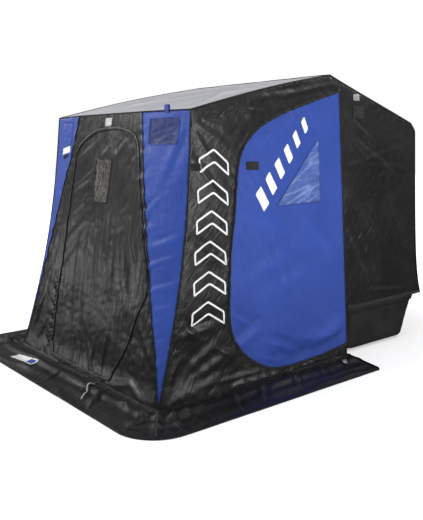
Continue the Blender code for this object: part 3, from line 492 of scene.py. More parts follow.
CORNER_FOLDS = [
    ([(0.66, 0.655), (0.92, 0.745)], 0.014, 0.020, 0.4), ([(0.58, 0.89), (0.88, 1.01)], 0.011, 0.020, 0.35),
    ([(0.64, 0.75), (0.79, 0.83)], 0.009, 0.014, 0.5), ([(0.62, 0.80), (0.88, 0.90)], 0.006, 0.016, 0.4),
    ([(0.70, 0.54), (0.86, 0.60)], 0.008, 0.016, 0.5), ([(0.53, 1.10), (0.66, 1.22)], 0.005, 0.018, 0.5),
    ([(0.77, 1.66), (0.60, 1.25)], 0.005, 0.030, 0.4), ([(0.78, 0.34), (0.86, 0.42)], 0.007, 0.014, 0.5),
]
SIDE_FOLDS = [
    ([(-0.80, 1.69), (-0.26, 1.757)], 0.0030, 0.017, 0.35),
    ([(-0.80, 1.675), (-0.43, 1.61)], 0.0032, 0.020, 0.35),
    ([(-0.80, 1.65), (-0.54, 1.51)], 0.0028, 0.020, 0.35),
    ([(-0.80, 1.60), (-0.66, 1.41)], 0.0024, 0.018, 0.35),
    ([(-0.60, 1.735), (-0.15, 1.728)], 0.008, 0.012, 0.4),
    ([(-0.56, 1.76), (0.25, 1.90)], 0.008, 0.014, 0.5), ([(-0.15, 1.81), (0.54, 1.95)], 0.007, 0.014, 0.5),
    ([(-0.50, 1.55), (-0.36, 1.68)], 0.007, 0.014, 0.5),
    ([(-0.83, 1.45), (-0.60, 1.20)], 0.006, 0.026, 0.4),
    ([(-0.90, 0.95), (-0.62, 0.80)], 0.005, 0.030, 0.5),
    ([(-1.11, 0.03), (-0.53, 0.27)], 0.0075, 0.036, 0.55),
    ([(-1.11, 0.02), (-0.60, 0.13)], 0.0060, 0.030, 0.5),
    ([(-1.10, 0.05), (-0.99, 0.28)], 0.0060, 0.026, 0.45),
    ([(-1.10, 0.06), (-0.66, 0.34)], 0.0050, 0.034, 0.5),
    ([(-0.70, 0.13), (-0.52, 0.25)], 0.007, 0.011, 0.5),
    ([(-0.78, 0.08), (-0.30, 0.075)], 0.009, 0.014, 0.5),
    ([(-1.00, 0.40), (-0.66, 0.44)], 0.008, 0.026, 0.5),
    ([(-0.95, 0.50), (-0.80, 0.34)], 0.009, 0.020, 0.5),
    ([(-0.70, 0.30), (-0.53, 0.20)], 0.010, 0.018, 0.5),
    ([(-0.60, 0.03), (-0.10, 0.028)], 0.010, 0.014, 0.4),
    ([(-0.05, 0.03), (0.40, 0.035)], 0.009, 0.012, 0.5),
    ([(-0.52, 0.27), (-0.28, 0.37)], 0.011, 0.034, 0.4),
    ([(0.54, 0.285), (0.25, 0.20), (-0.12, 0.25)], 0.014, 0.044, 0.3),
    ([(-0.56, 0.49), (-0.30, 0.31)], 0.008, 0.024, 0.4), ([(0.54, 0.22), (0.05, 0.14)], 0.010, 0.028, 0.35),
    ([(-0.32, 0.27), (0.07, 0.13)], 0.013, 0.026, 0.5), ([(-0.35, 0.17), (-0.12, 0.09)], 0.008, 0.018, 0.5),
    ([(0.54, 0.33), (0.36, 0.42)], 0.008, 0.018, 0.35), ([(-0.43, 0.68), (0.10, 0.86)], 0.005, 0.045, 0.5),
    ([(-0.39, 0.52), (0.40, 0.76)], 0.006, 0.045, 0.5), ([(0.12, 1.06), (0.53, 0.64)], 0.005, 0.045, 0.5),
    ([(-0.48, 1.10), (-0.10, 0.98)], 0.005, 0.040, 0.5), ([(-0.40, 1.46), (0.30, 1.78)], 0.004, 0.045, 0.5),
    ([(0.59, 1.36), (1.39, 1.54)], 0.0025, 0.020, 0.4), ([(0.61, 1.22), (1.17, 0.59)], 0.006, 0.034, 0.5),
    ([(0.60, 0.95), (0.90, 0.45)], 0.006, 0.030, 0.5), ([(0.61, 1.39), (1.32, 1.34)], 0.0022, 0.018, 0.4),
    ([(0.60, 1.62), (1.30, 1.20)], 0.005, 0.034, 0.5), ([(0.75, 0.45), (1.30, 0.40)], 0.006, 0.018, 0.5),
    ([(0.60, 1.75), (0.95, 1.52)], 0.0030, 0.022, 0.4), ([(1.05, 1.25), (1.38, 0.60)], 0.005, 0.030, 0.5),
]
SKIRT_FOLDS = [
    ((0.90, -1.13), (1.19, -1.37), 0.020, 0.022), ((0.92, -1.08), (1.22, -1.20), 0.016, 0.022),
    ((0.88, -1.15), (1.02, -1.46), 0.018, 0.022), ((0.93, -1.02), (1.23, -1.06), 0.016, 0.020),
    ((0.93, -0.90), (1.21, -0.98), 0.012, 0.018), ((0.93, -0.60), (1.20, -0.78), 0.012, 0.018),
    ((0.93, -0.35), (1.18, -0.58), 0.012, 0.018), ((0.93, -0.05), (1.15, -0.25), 0.012, 0.018),
    ((0.93, 0.20), (1.15, 0.02), 0.012, 0.018), ((0.40, -1.22), (0.62, -1.44), 0.014, 0.020),
    ((0.62, -1.20), (0.86, -1.30), 0.016, 0.022), ((-0.10, -1.22), (0.02, -1.44), 0.008, 0.018),
]
ROOF_FOLDS = [
    ([(-0.70, -0.75), (0.10, -0.10), (0.30, 0.40)], 0.009, 0.040, 0.4),
    ([(0.74, -0.72), (0.30, 0.00), (0.05, 0.42)], 0.010, 0.045, 0.4),
    ([(0.30, -0.80), (0.45, -0.30), (0.62, 0.40)], 0.008, 0.035, 0.5),
    ([(-0.30, -0.80), (-0.35, -0.20), (-0.55, 0.40)], 0.008, 0.035, 0.5),
    ([(0.72, -0.40), (0.74, 0.30)], 0.006, 0.020, 0.5), ([(-0.60, 0.36), (0.60, 0.34)], 0.006, 0.030, 0.5),
    ([(-0.70, 0.60), (0.00, 0.95), (0.60, 1.30)], 0.007, 0.040, 0.5),
    ([(0.72, 0.60), (0.10, 0.90), (-0.40, 1.30)], 0.007, 0.040, 0.5),
]


def fold_all(folds, a, b, gain=1.0):
    """All folds of a list; none is higher than a set share of its width, so that it stays soft."""
    return sum(crease(a, b, path, min(gain * height, STEEPEST * width), width, lead)
               for path, height, width, lead in folds)


def front_height(x, z):
    """Folds of the front: tension creases above, hanging folds below, puckers along seams and the hinge."""
    seam, corner = seam_x(z), side_x(FRONT_CORNER_Y, z)
    h = fold_all(FRONT_FOLDS, x, z, 0.6) + fold_all(CORNER_FOLDS, np.abs(x) + 0.01 * (x < 0), z, 1.3)
    in_wall = smoothstep(seam - np.abs(x), 0.0, 0.05)
    low_part = 0.35 + 0.65 * smoothstep(z, 1.25, 0.95)
    h += in_wall * low_part * (0.0022 * ripples(x, z, 3, 0.60, 0.080, 89)
                               + 0.0011 * ripples(x, z, 4, 0.45, 0.040, 88))
    h += in_wall * smoothstep(z, 0.75, 1.25) * (0.0020 * ripples(x, z, 5, 0.34, 0.070, 38)
                                                + 0.0007 * ripples(x, z, 10, 0.20, 0.032, 42))
    h += 0.005 * ripples(x, z, 6, 0.30, 0.22, 0)
    h += 0.0016 * ripples(x, z, 7, 0.07, 0.03, 20)
    at_seam = np.exp(-np.abs(np.abs(x) - seam) / 0.05)
    h += at_seam * 0.0075 * ripples(x, z, 8, 0.14, 0.045, 24)
    hinge, _ = along(x, z, [(-0.49, 0.0), (-0.455, 0.45), (-0.455, 1.04), (-0.375, 1.55)])
    h += (0.010 * np.exp(-np.abs(hinge - 0.02) / 0.030) * ripples(x, z, 9, 0.14, 0.040, -35)
          * smoothstep(z, 0.80, 0.4))
    h *= 1 - 0.7 * smoothstep(z, 1.58, 1.62) * in_wall
    h += 0.016 * smoothstep(z, 0.14, 0.0)
    edges = smoothstep(corner - np.abs(x), 0.0, 0.04) * smoothstep(FRONT_TOP_Z - z, 0.0, 0.06)
    return h * (0.12 + 0.88 * edges) * smoothstep(corner - np.abs(x), -0.002, 0.02)


def side_height(y, z, seed=20):
    """Folds of a side: taut at the top and along the hinge, slack and bulging near the ground."""
    top = roof_z(0.0, y)
    h = fold_all(SIDE_FOLDS, y, z, 1.35)
    h += 0.006 * ripples(y, z, seed, 0.34, 0.26, 0) + 0.0022 * ripples(y, z, seed + 1, 0.22, 0.06, -35)
    h += 0.0009 * ripples(y, z, seed + 2, 0.05, 0.03, 15)
    h += (0.0028 * smoothstep(z, 0.75, 0.1) * ripples(y, z, seed + 3, 0.30, 0.06, 24)
          * smoothstep(HINGE_Y + 0.05 - y, 0.0, 0.1))
    h += 0.0024 * smoothstep(top - z, 0.22, 0.03) * ripples(y, z, seed + 4, 0.26, 0.034, 14)
    outline = np.abs(along(y, z, SIDE_DOOR)[0])
    h += 0.0035 * np.exp(-outline / 0.030) * ripples(y, z, seed + 5, 0.09, 0.03, -30)
    h += 0.014 * smoothstep(z, 0.16, 0.0) * smoothstep(HINGE_Y + 0.02 - y, 0.0, 0.06)
    h += 0.006 * smoothstep(z, 0.07, 0.02) * ripples(y, z, seed + 6, 0.05, 0.20, 20)
    h += 0.006 * np.exp(-(((y - 0.0) / 0.5) ** 2) - (((z - 0.9) / 0.6) ** 2))
    hinge = 1 - 0.75 * np.exp(-(((y - HINGE_Y) / 0.025) ** 2))
    front = smoothstep(y - corner_y(z), -0.002, 0.04)
    rear = smoothstep(rear_y(0.0, z) - y, -0.002, 0.05)
    return h * hinge * front * rear * smoothstep(top - z, 0.0, 0.05)


def roof_height(x, y):
    h = fold_all(ROOF_FOLDS, x, y) + 0.005 * ripples(x, y, 40, 0.5, 0.25, 80)
    h += 0.0022 * ripples(x, y, 41, 0.30, 0.06, 75) + 0.0008 * ripples(x, y, 42, 0.06, 0.03, 60)
    span = np.where(y < RIDGE_Y, (y - FRONT_CORNER_Y) / (RIDGE_Y - FRONT_CORNER_Y),
                    (y - RIDGE_Y) / (EAVE_Y - RIDGE_Y))
    h -= 0.012 * np.sin(np.pi * np.clip(span, 0, 1)) * (1 - (x / 0.9) ** 2)
    edge = smoothstep(roof_edge_x(y) - np.abs(x), 0.0, 0.05)
    ends = smoothstep(y - front_y(x, FRONT_TOP_Z), 0.0, 0.05) * smoothstep(REAR_WALL_Y - y, 0.0, 0.05)
    return h * edge * ends * (0.35 + 0.65 * smoothstep(np.abs(y - RIDGE_Y), 0.0, 0.06))


def rear_height(x, z):
    top = roof_z(0.0, REAR_WALL_Y)
    h = 0.006 * ripples(x, z, 50, 0.6, 0.09, 88) + 0.004 * ripples(x, z, 51, 0.3, 0.07, 40)
    h += (crease(x, z, [(-0.75, 1.5), (-0.30, 0.95)], 0.010, 0.03)
          + crease(x, z, [(0.76, 1.5), (0.25, 0.9)], 0.010, 0.03))
    h += 0.004 * ripples(x, z, 52, 0.12, 0.05, 10) * smoothstep(z, 0.6, 0.38)
    edge = smoothstep(side_x(REAR_WALL_Y, z) - np.abs(x), 0.0, 0.05)
    return h * edge * smoothstep(top - z, 0.0, 0.06) * (0.3 + 0.7 * smoothstep(z, 0.35, 0.45))


def skirt_height(x, y):
    """The skirt leaves the wall in a roll and runs out in folds that fan round the corners."""
    out_x, out_y = np.maximum(0.0, np.abs(x) - HALF_WIDTH), np.maximum(0.0, FRONT_GROUND_Y - y)
    out = np.hypot(out_x, out_y)
    turn = np.where(out > 1e-6, np.arctan2(out_x, out_y), 0.0)
    run = np.sign(x) * (np.minimum(np.abs(x), HALF_WIDTH) + 0.35 * turn) + np.maximum(0.0, y - FRONT_GROUND_Y)
    rest = smoothstep(out, 0.0, 0.05)
    ridged = (1 - np.abs(ripples(run, out, 66, 0.9, 0.13))) ** 3
    swing = 0.028 * ripples(run, out, 61, 0.50, 3.0)
    roll = 0.020 + 0.016 * ripples(run, out, 67, 0.45, 3.0)
    h = 0.016 * np.exp(-((out / 0.022) ** 2)) + roll * np.exp(-(((out - 0.130 - swing) / 0.034) ** 2))
    h += (0.4 * roll * np.exp(-(((out - 0.235 - swing) / 0.030) ** 2))
          * smoothstep(ripples(run, out, 68, 0.5, 3.0), -0.2, 0.3))
    round_corner = smoothstep(np.minimum(out_x, out_y) + 0.10, 0.0, 0.10) * smoothstep(np.abs(x), 0.55, 0.85)
    h += rest * (0.4 + 0.6 * round_corner) * (0.007 * np.abs(ripples(run, out, 62, 0.26, 0.09))
                                              + 0.0015 * np.abs(ripples(run, out, 63, 0.07, 0.4)))
    h += (0.005 * np.exp(-((out / 0.05) ** 2)) * np.abs(ripples(run, out, 69, 0.045, 0.3))
          * smoothstep(y, -1.10, -1.0))
    h += rest * (0.008 * np.maximum(0.0, ripples(run, out, 64, 0.5, 0.09))
                 + 0.009 * ridged * smoothstep(out, 0.05, 0.12))
    for start, end, height, width in SKIRT_FOLDS:
        h += crease(np.abs(x) if start[0] > 0.8 else x, y, [start, end], height, width, 0.45)
    hem = smoothstep(0.358 - out, 0.0, 0.06)
    rear = SKIRT_REAR_Y + (HINGE_Y + 0.02 - SKIRT_REAR_Y) * np.clip(1 - out / 0.33, 0, 1)
    hem = np.minimum(hem, smoothstep(rear - y, -0.01, 0.10))
    return np.maximum(h * (0.15 + 0.85 * hem), 0.0)


# ---------------------------------------------------------------- drapes

class Drape:
    """A face of the cover. lift places pattern points in space; height moves them along outward."""

    def __init__(self, lift, outward, height, flip=False):
        self.lift, self.height, self.flip = lift, height, flip
        self.outward = np.array(outward, float)

    def bare(self, a, b):
        a, b = np.asarray(a, float), np.asarray(b, float)
        return np.stack(self.lift(a, b), -1) + self.height(a, b)[..., None] * self.outward

    def normal(self, a, b):
        step = 0.004
        da = self.bare(a + step, b) - self.bare(a - step, b)
        db = self.bare(a, b + step) - self.bare(a, b - step)
        n = np.cross(da, db) * (-1 if self.flip else 1)
        return n / np.maximum(np.linalg.norm(n, axis=-1, keepdims=True), 1e-12)

    def at(self, a, b, proud=0.0):
        a, b = np.asarray(a, float), np.asarray(b, float)
        return self.bare(a, b) + self.normal(a, b) * np.asarray(proud)[..., None]


DRAPES = {
    "right": Drape(lambda a, b: (side_x(a, b), a, b), (1, 0, 0), side_height),
    "left": Drape(lambda a, b: (-side_x(a, b), a, b), (-1, 0, 0), lambda a, b: side_height(a, b, 30), True),
    "front": Drape(lambda a, b: (a, front_y(a, b), b), (0, -1, 0), front_height),
    "rear": Drape(lambda a, b: (a, rear_y(a, b), b), (0, 1, 0), rear_height, True),
    "roof": Drape(lambda a, b: (a, b, roof_z(a, b)), (0, 0, 1), roof_height),
    "ground": Drape(lambda a, b: (a, b, 0.003 + 0.0 * a), (0, 0, 1), skirt_height),
}


# ---------------------------------------------------------------- mounting on the frame


def add_mesh(name, vertices, faces, look, uvs=None, relief=None):
    mesh = bpy.data.meshes.new(name)
    mesh.from_pydata([tuple(v) for v in vertices], [], faces)
    mesh.materials.append(LOOKS[look])
    mesh.shade_smooth()
    if uvs is not None:
        layer = mesh.uv_layers.new(name="pattern")
        corners = np.zeros(len(mesh.loops), int)
        mesh.loops.foreach_get("vertex_index", corners)
        layer.data.foreach_set("uv", np.asarray(uvs, np.float32)[corners].ravel())
    if relief is not None:
        attribute = mesh.attributes.new("relief", "FLOAT", "POINT")
        attribute.data.foreach_set("value", np.asarray(relief, np.float32))
    obj = bpy.data.objects.new(name, mesh)
    bpy.context.scene.collection.objects.link(obj)
    return obj


def mount(obj, body, folds=True):
    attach(obj, body)
    if folds:
        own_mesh(obj)
    return obj


# ---------------------------------------------------------------- panels, bands and stitches

def inside(a, b, outline):
    """Even-odd test of many points against a closed outline."""
    result = np.zeros(np.shape(a), bool)
    for (a1, b1), (a2, b2) in zip(outline, outline[1:] + outline[:1]):
        if b1 != b2:
            result ^= ((b1 > b) != (b2 > b)) & (a < (a2 - a1) * (b - b1) / (b2 - b1) + a1)
    return result


def shrink(outline, distance):
    """Moves a closed outline inwards by distance, or outwards where it is negative."""
    points = np.array(outline, float)
    before, after = points - np.roll(points, 1, 0), np.roll(points, -1, 0) - points
    area = np.sum(points[:, 0] * np.roll(points[:, 1], -1) - np.roll(points[:, 0], -1) * points[:, 1])
    turn = 1.0 if area > 0 else -1.0
    normals = [turn * np.stack([-d[:, 1], d[:, 0]], -1) / np.linalg.norm(d, axis=1, keepdims=True)
               for d in (before, after)]
    middle = normals[0] + normals[1]
    middle /= np.linalg.norm(middle, axis=1, keepdims=True)
    reach = distance / np.maximum(0.5, np.sum(middle * normals[0], axis=1))
    return [tuple(p) for p in points + middle * reach[:, None]]


def closed(outline, step):
    """A closed outline's straight edges, cut into steps; its first point isn't repeated."""
    return resample(list(outline) + [outline[0]], step)[:-1]


def pattern_area(outline):
    return abs(sum(a1 * b2 - a2 * b1 for (a1, b1), (a2, b2) in zip(outline, outline[1:] + outline[:1]))) / 2


def within(a, b, loops):
    """Which points lie inside the first loop and outside the others."""
    keep = inside(a, b, loops[0])
    for loop in loops[1:]:
        keep &= ~inside(a, b, loop)
    return keep


def cut_panel(name, drape, outline, look, holes=(), grain=GRAIN, proud=0.0, thick=CLOTH, relief=None):
    """A panel of cloth: its outline and holes cut from a drape, with points close enough for the folds."""
    loops = [closed(loop, grain) for loop in [outline, *holes]]
    points, edges = [], []
    for loop in loops:
        first = len(points)
        points += loop
        edges += [(first + i, first + (i + 1) % len(loop)) for i in range(len(loop))]
    rim = np.array(points)
    low, high = rim.min(0), rim.max(0)
    a, b = (grid.ravel() for grid in np.meshgrid(np.arange(low[0] + grain / 2, high[0], grain),
                                                 np.arange(low[1] + grain / 2, high[1], grain)))
    keep = within(a, b, loops)
    a, b = a[keep], b[keep]
    for i in range(0, len(rim), RIM_BATCH):
        part = rim[None, i:i + RIM_BATCH]
        near = np.hypot(a[:, None] - part[..., 0], b[:, None] - part[..., 1]).min(1)
        a, b = a[near > grain * RIM_GAP], b[near > grain * RIM_GAP]
    points += list(zip(a, b))
    flat, _, triangles, *_ = delaunay_2d_cdt([Vector(p) for p in points], edges, [], 0, 1e-7)
    flat = np.array([tuple(p) for p in flat])
    faces = np.array([t for t in triangles], int)
    middle = flat[faces].mean(1)
    faces = faces[within(middle[:, 0], middle[:, 1], loops)]
    p, q, r = (flat[faces[:, k]] for k in range(3))
    signed = (q[:, 0] - p[:, 0]) * (r[:, 1] - p[:, 1]) - (q[:, 1] - p[:, 1]) * (r[:, 0] - p[:, 0])
    turned = (signed < 0) != drape.flip
    faces[turned] = faces[turned][:, ::-1]
    a, b = flat[:, 0], flat[:, 1]
    rise = relief(a, b) if relief else 0.0
    # the relief attribute sets painted light in the materials: painted shade in fold hollows, a painted
    # highlight on fold ridges or on a window's crinkle ridges
    tone = 0.5 + (drape.height(a, b) - FOLD_LEVEL) / FOLD_RANGE
    if relief:
        tone = 0.45 + rise / CRINKLE_RANGE
    elif drape is DRAPES["ground"]:
        # on the skirt, cloth lying flat on the ground gets painted shade, and only raised rolls and folds get
        # painted highlight
        tone -= 0.45
    obj = add_mesh(name, drape.at(a, b, proud + rise + np.zeros(len(a))), faces.tolist(), look, flat,
                   np.clip(tone, 0.0, 1.0))
    solid = obj.modifiers.new("Thickness", "SOLIDIFY")
    solid.thickness = thick
    solid.offset = -1.0
    return obj


def turn_outward(obj):
    """Turns a closed mesh's faces outward."""
    bm = bmesh.new()
    bm.from_mesh(obj.data)
    bmesh.ops.recalc_face_normals(bm, faces=bm.faces)
    bm.to_mesh(obj.data)
    bm.free()


def sweep(name, points, normals, width, thick, look, loop=False, sides=8):
    """A band or cord with a flattened round section, along points, flat across its normals."""
    points, normals = np.array(points, float), np.array(normals, float)
    count = len(points)
    tangent = np.roll(points, -1, 0) - np.roll(points, 1, 0)
    if not loop:
        tangent[0], tangent[-1] = points[1] - points[0], points[-1] - points[-2]
    across = np.cross(tangent, normals)
    across /= np.linalg.norm(across, axis=1, keepdims=True)
    angles = np.linspace(0, 2 * np.pi, sides, endpoint=False) + np.pi / sides
    power = 1.0 if width < 1.6 * thick else 0.45
    ring = np.stack([np.sign(wave) * np.abs(wave) ** power * size / 2
                     for wave, size in ((np.cos(angles), width), (np.sin(angles), thick))], -1)
    vertices = points[:, None] + across[:, None] * ring[None, :, :1] + normals[:, None] * ring[None, :, 1:]
    vertices = vertices.reshape(-1, 3)
    faces = []
    for i in range(count if loop else count - 1):
        j = (i + 1) % count
        for k in range(sides):
            m = (k + 1) % sides
            faces.append((i * sides + k, i * sides + m, j * sides + m, j * sides + k))
    if not loop:
        faces.append(tuple(range(sides))[::-1])
        faces.append(tuple((count - 1) * sides + k for k in range(sides)))
    reach = np.concatenate([[0.0], np.cumsum(np.linalg.norm(np.diff(points, axis=0), axis=1))])
    uvs = np.stack([np.repeat(reach, sides), np.tile(ring[:, 0], count)], -1)
    obj = add_mesh(name, vertices, faces, look, uvs, np.full(len(vertices), 0.5))
    turn_outward(obj)
    return obj


def band(name, drape, path, width, thick, look, proud=0.0, loop=False, step=0.012):
    """A band lying on a drape along a pattern path."""
    path = closed(path, step) if loop else resample(path, step)
    a, b = np.array(path).T
    return sweep(name, drape.at(a, b, np.full(len(a), proud + thick / 2)), drape.normal(a, b),
                 width, thick, look, loop)


BEAD = [(-0.5, 0, 0), (0.5, 0, 0), (0, -0.5, 0), (0, 0.5, 0), (0, 0, 0.5), (0, 0, -0.5)]
BEAD_FACES = [(0, 3, 4), (3, 1, 4), (1, 2, 4), (2, 0, 4), (3, 0, 5), (1, 3, 5), (2, 1, 5), (0, 2, 5)]


def beads(name, drape, paths, pitch, size, look, proud=0.0, turn=0.0):
    """A row of small bars along pattern paths: stitches, or a zip's teeth when turned across the path."""
    length, width, height = size
    vertices, faces, uvs = [], [], []
    for path in paths:
        marks = np.array(resample(path, pitch))
        centre = (marks[1:] + marks[:-1]) / 2
        step = marks[1:] - marks[:-1]
        lift = np.full(len(centre), proud)
        at = drape.at(centre[:, 0], centre[:, 1], lift)
        normal = drape.normal(centre[:, 0], centre[:, 1])
        ahead = drape.at(centre[:, 0] + step[:, 0] * 0.3, centre[:, 1] + step[:, 1] * 0.3, lift) - at
        ahead /= np.linalg.norm(ahead, axis=1, keepdims=True)
        across = np.cross(normal, ahead)
        c, s = math.cos(math.radians(turn)), math.sin(math.radians(turn))
        ahead, across = ahead * c + across * s, across * c - ahead * s
        for i in range(len(at)):
            first = len(vertices)
            vertices += [at[i] + ahead[i] * (x * length) + across[i] * (y * width) + normal[i] * (z * height)
                         for x, y, z in BEAD]
            faces += [tuple(first + k for k in face) for face in BEAD_FACES]
            uvs += [(centre[i][0] + x * length, centre[i][1] + y * width) for x, y, _ in BEAD]
    return add_mesh(name, vertices, faces, look, uvs)


def rectangle(centre, size, turn=0.0):
    c, s = math.cos(math.radians(turn)), math.sin(math.radians(turn))
    return [(centre[0] + x * size[0] * c - y * size[1] * s, centre[1] + x * size[0] * s + y * size[1] * c)
            for x, y in ((-0.5, -0.5), (0.5, -0.5), (0.5, 0.5), (-0.5, 0.5))]


def rounded(outline, radius, steps=4):
    """A closed outline with its corners cut round."""
    result = []
    for i in range(len(outline)):
        p, before, after = (np.array(outline[k % len(outline)], float) for k in (i, i - 1, i + 1))
        start = p + (before - p) / np.linalg.norm(before - p) * radius
        end = p + (after - p) / np.linalg.norm(after - p) * radius
        for t in np.linspace(0, 1, steps + 1):
            result.append(tuple(start * (1 - t) ** 2 + p * 2 * t * (1 - t) + end * t * t))
    return result


def mirrored(right):
    """A closed outline from its right half."""
    return right + [(-x, y) for x, y in reversed(right)]


def beside(path, gap):
    """A path moved to its left by gap, or to its right where gap is negative."""
    points = np.array(path, float)
    tangent = np.gradient(points, axis=0)
    tangent /= np.linalg.norm(tangent, axis=1, keepdims=True)
    return [tuple(p) for p in points + gap * np.stack([-tangent[:, 1], tangent[:, 0]], -1)]


class Panel:
    """A panel of the cover on its body, and the pieces sewn to it."""

    def __init__(self, name, drape, body):
        self.name, self.drape, self.body = name, drape, body
        self.trims = []

    def cut(self, outline, look, slot="black_cloth", holes=(), **shape):
        self.outline, self.holes = outline, holes
        self.cloth = mount(cut_panel(self.name, self.drape, outline, look, holes, **shape), self.body)

    def add(self, obj, slot="black_cloth"):
        self.trims.append(mount(obj, self.body))

    def band(self, name, path, width, thick, look="binding", proud=0.0, slot="black_cloth", **shape):
        self.add(band(name, self.drape, path, width, thick, look, proud, **shape), slot)

    def stitch(self, name, paths, thread="black_thread", proud=ON_CLOTH, slot="black_cloth"):
        self.add(beads(name, self.drape, paths, STITCH_PITCH, STITCH, thread, proud), slot)

    def sew(self, name, path, gap=0.006, proud=ON_CLOTH):
        """Two rows of stitches beside a seam."""
        self.stitch(name, [beside(path, side * gap) for side in (-1, 1)], proud=proud)

    def teeth(self, name, path, proud):
        """A zip's teeth, across its line."""
        self.add(beads(name, self.drape, [path], TOOTH_PITCH, TOOTH, "buckle", proud, 90.0))

    def patch(self, name, outline, look, slot="black_cloth", proud=0.0010, thick=0.0008, stitched=True):
        piece = cut_panel(name, self.drape, outline, look, grain=0.009, proud=proud + thick, thick=thick)
        self.add(piece, slot)
        if stitched:
            row = shrink(outline, 0.004)
            self.stitch(name + "_stitches", [closed(row, 0.01) + row[:1]], proud=proud + thick + 0.0004)

    def declare(self, node):
        """Works out the size the panel was cut to, and hides its node, in whose place the panel stands; the
        size is not kept.
        """
        low = [min(p[k] for p in self.outline) for k in (0, 1)]
        high = [max(p[k] for p in self.outline) for k in (0, 1)]
        width, length = high[0] - low[0], high[1] - low[1]
        area = min(width * length, pattern_area(self.outline) - sum(pattern_area(h) for h in self.holes))
        if area < STRIP_SHARE * width * length:  # cut as narrower strips round an opening
            width = area / (0.5 * length)
        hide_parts(node)


def window(panel, name, outline, look, slot, node, relief, blue=None, width=0.013, round_by=0.012):
    """A vinyl pane in a panel's hole, with a bound edge, or a blue one, and stitches. Returns the hole."""
    outline = rounded(outline, round_by)
    pane = Panel(name, panel.drape, panel.body)
    pane.cut(shrink(outline, 0.0008), look, slot, grain=0.007, proud=0.0004, thick=0.0008, relief=relief)
    pane.band(name + "_border", shrink(outline, -0.001), width, 0.0022, blue or "binding",
              slot="blue_cloth" if blue else "black_cloth", loop=True)
    inner = shrink(outline, -width * 0.25)
    pane.stitch(name + "_stitches", [inner + inner[:1]], "blue_thread" if blue else "black_thread", 0.0024)
    pane.outline = outline
    pane.declare(node)
    return outline


# ---------------------------------------------------------------- the front

HEADER_SEAMS = [[(-0.435, 1.540), (-0.330, 1.556), (-0.262, 1.578)], [(0.315, 1.598), (0.430, 1.590)]]
DOOR_ZIP = spline(FRONT_DOOR)
SIDE_ZIP = spline(SIDE_DOOR)
CORNER_ROWS = [0.022, 0.035, 0.05, 0.08, 0.11]  # heights of the corner panel's points near its tip
LOOP_X, LOOP_Z, LOOP_HALF, LOOP_RISE = 0.616, 1.742, 0.006, 0.012


def build_front():
    drape = DRAPES["front"]
    right = [(seam_x(z) - EDGE, z) for z in np.linspace(HEM_Z, TOP_Z, 60)]
    right[0] = (right[0][0] - 0.004, HEM_Z)
    wall = Panel("front_wall_cloth", drape, "front_bow")
    wall.cut(mirrored(right), "hung_cloth", holes=[DOOR_ZIP])
    door = Panel("front_door_cloth", drape, "front_door")
    pane = window(door, "front_door_pane", FRONT_WINDOW, "grey_vinyl", "grey_vinyl", "front_door_window",
                  lambda x, z: 0.0022 * ripples(x, z, 70, 0.16, 0.030, 80)
                  + 0.0001 * noise(x / 0.014, z / 0.04, 71))
    door.cut(shrink(DOOR_ZIP, DOOR_GAP), "hung_cloth", holes=[pane])
    wall.band("front_door_zip", DOOR_ZIP, 0.022, 0.0060, "black_cloth", 0.0004)
    wall.teeth("front_door_teeth", DOOR_ZIP, 0.0032)
    wall.sew("front_door_zip_stitches", DOOR_ZIP[4:-4], 0.0095, 0.0012)
    hinge = resample([DOOR_ZIP[0], DOOR_ZIP[-1]], 0.02)
    wall.band("front_hinge_welt", [(x - 0.004, z) for x, z in hinge], 0.012, 0.0060, proud=0.0004)
    wall.sew("front_hinge_stitches", [(x - 0.012, z) for x, z in hinge], 0.003)
    wall.band("front_hem", [(-0.30, 0.016), (0.283, 0.016)], 0.026, 0.005, "black_cloth", 0.001)
    for i, header in enumerate(HEADER_SEAMS, start=1):
        wall.band(f"front_header_seam_{i}", header, 0.006, 0.005, proud=-0.001)
    puckers = resample([(-0.489, 0.06), (-0.455, 0.46), (-0.455, 0.56)], 0.02)
    wall.add(beads("front_hinge_puckers", drape, [[(x - 0.022, z) for x, z in puckers]], 0.034,
                   (0.064, 0.015, 0.016), "hung_cloth", 0.001, -55.0))
    wall.patch("front_reflector", rectangle((0.010, 1.668), (0.080, 0.056)), "reflector", "silver_cloth")
    for side, sign in SIDES.items():
        build_corner(side, sign, drape)
    wall.declare("front_wall")
    door.declare("front_door")


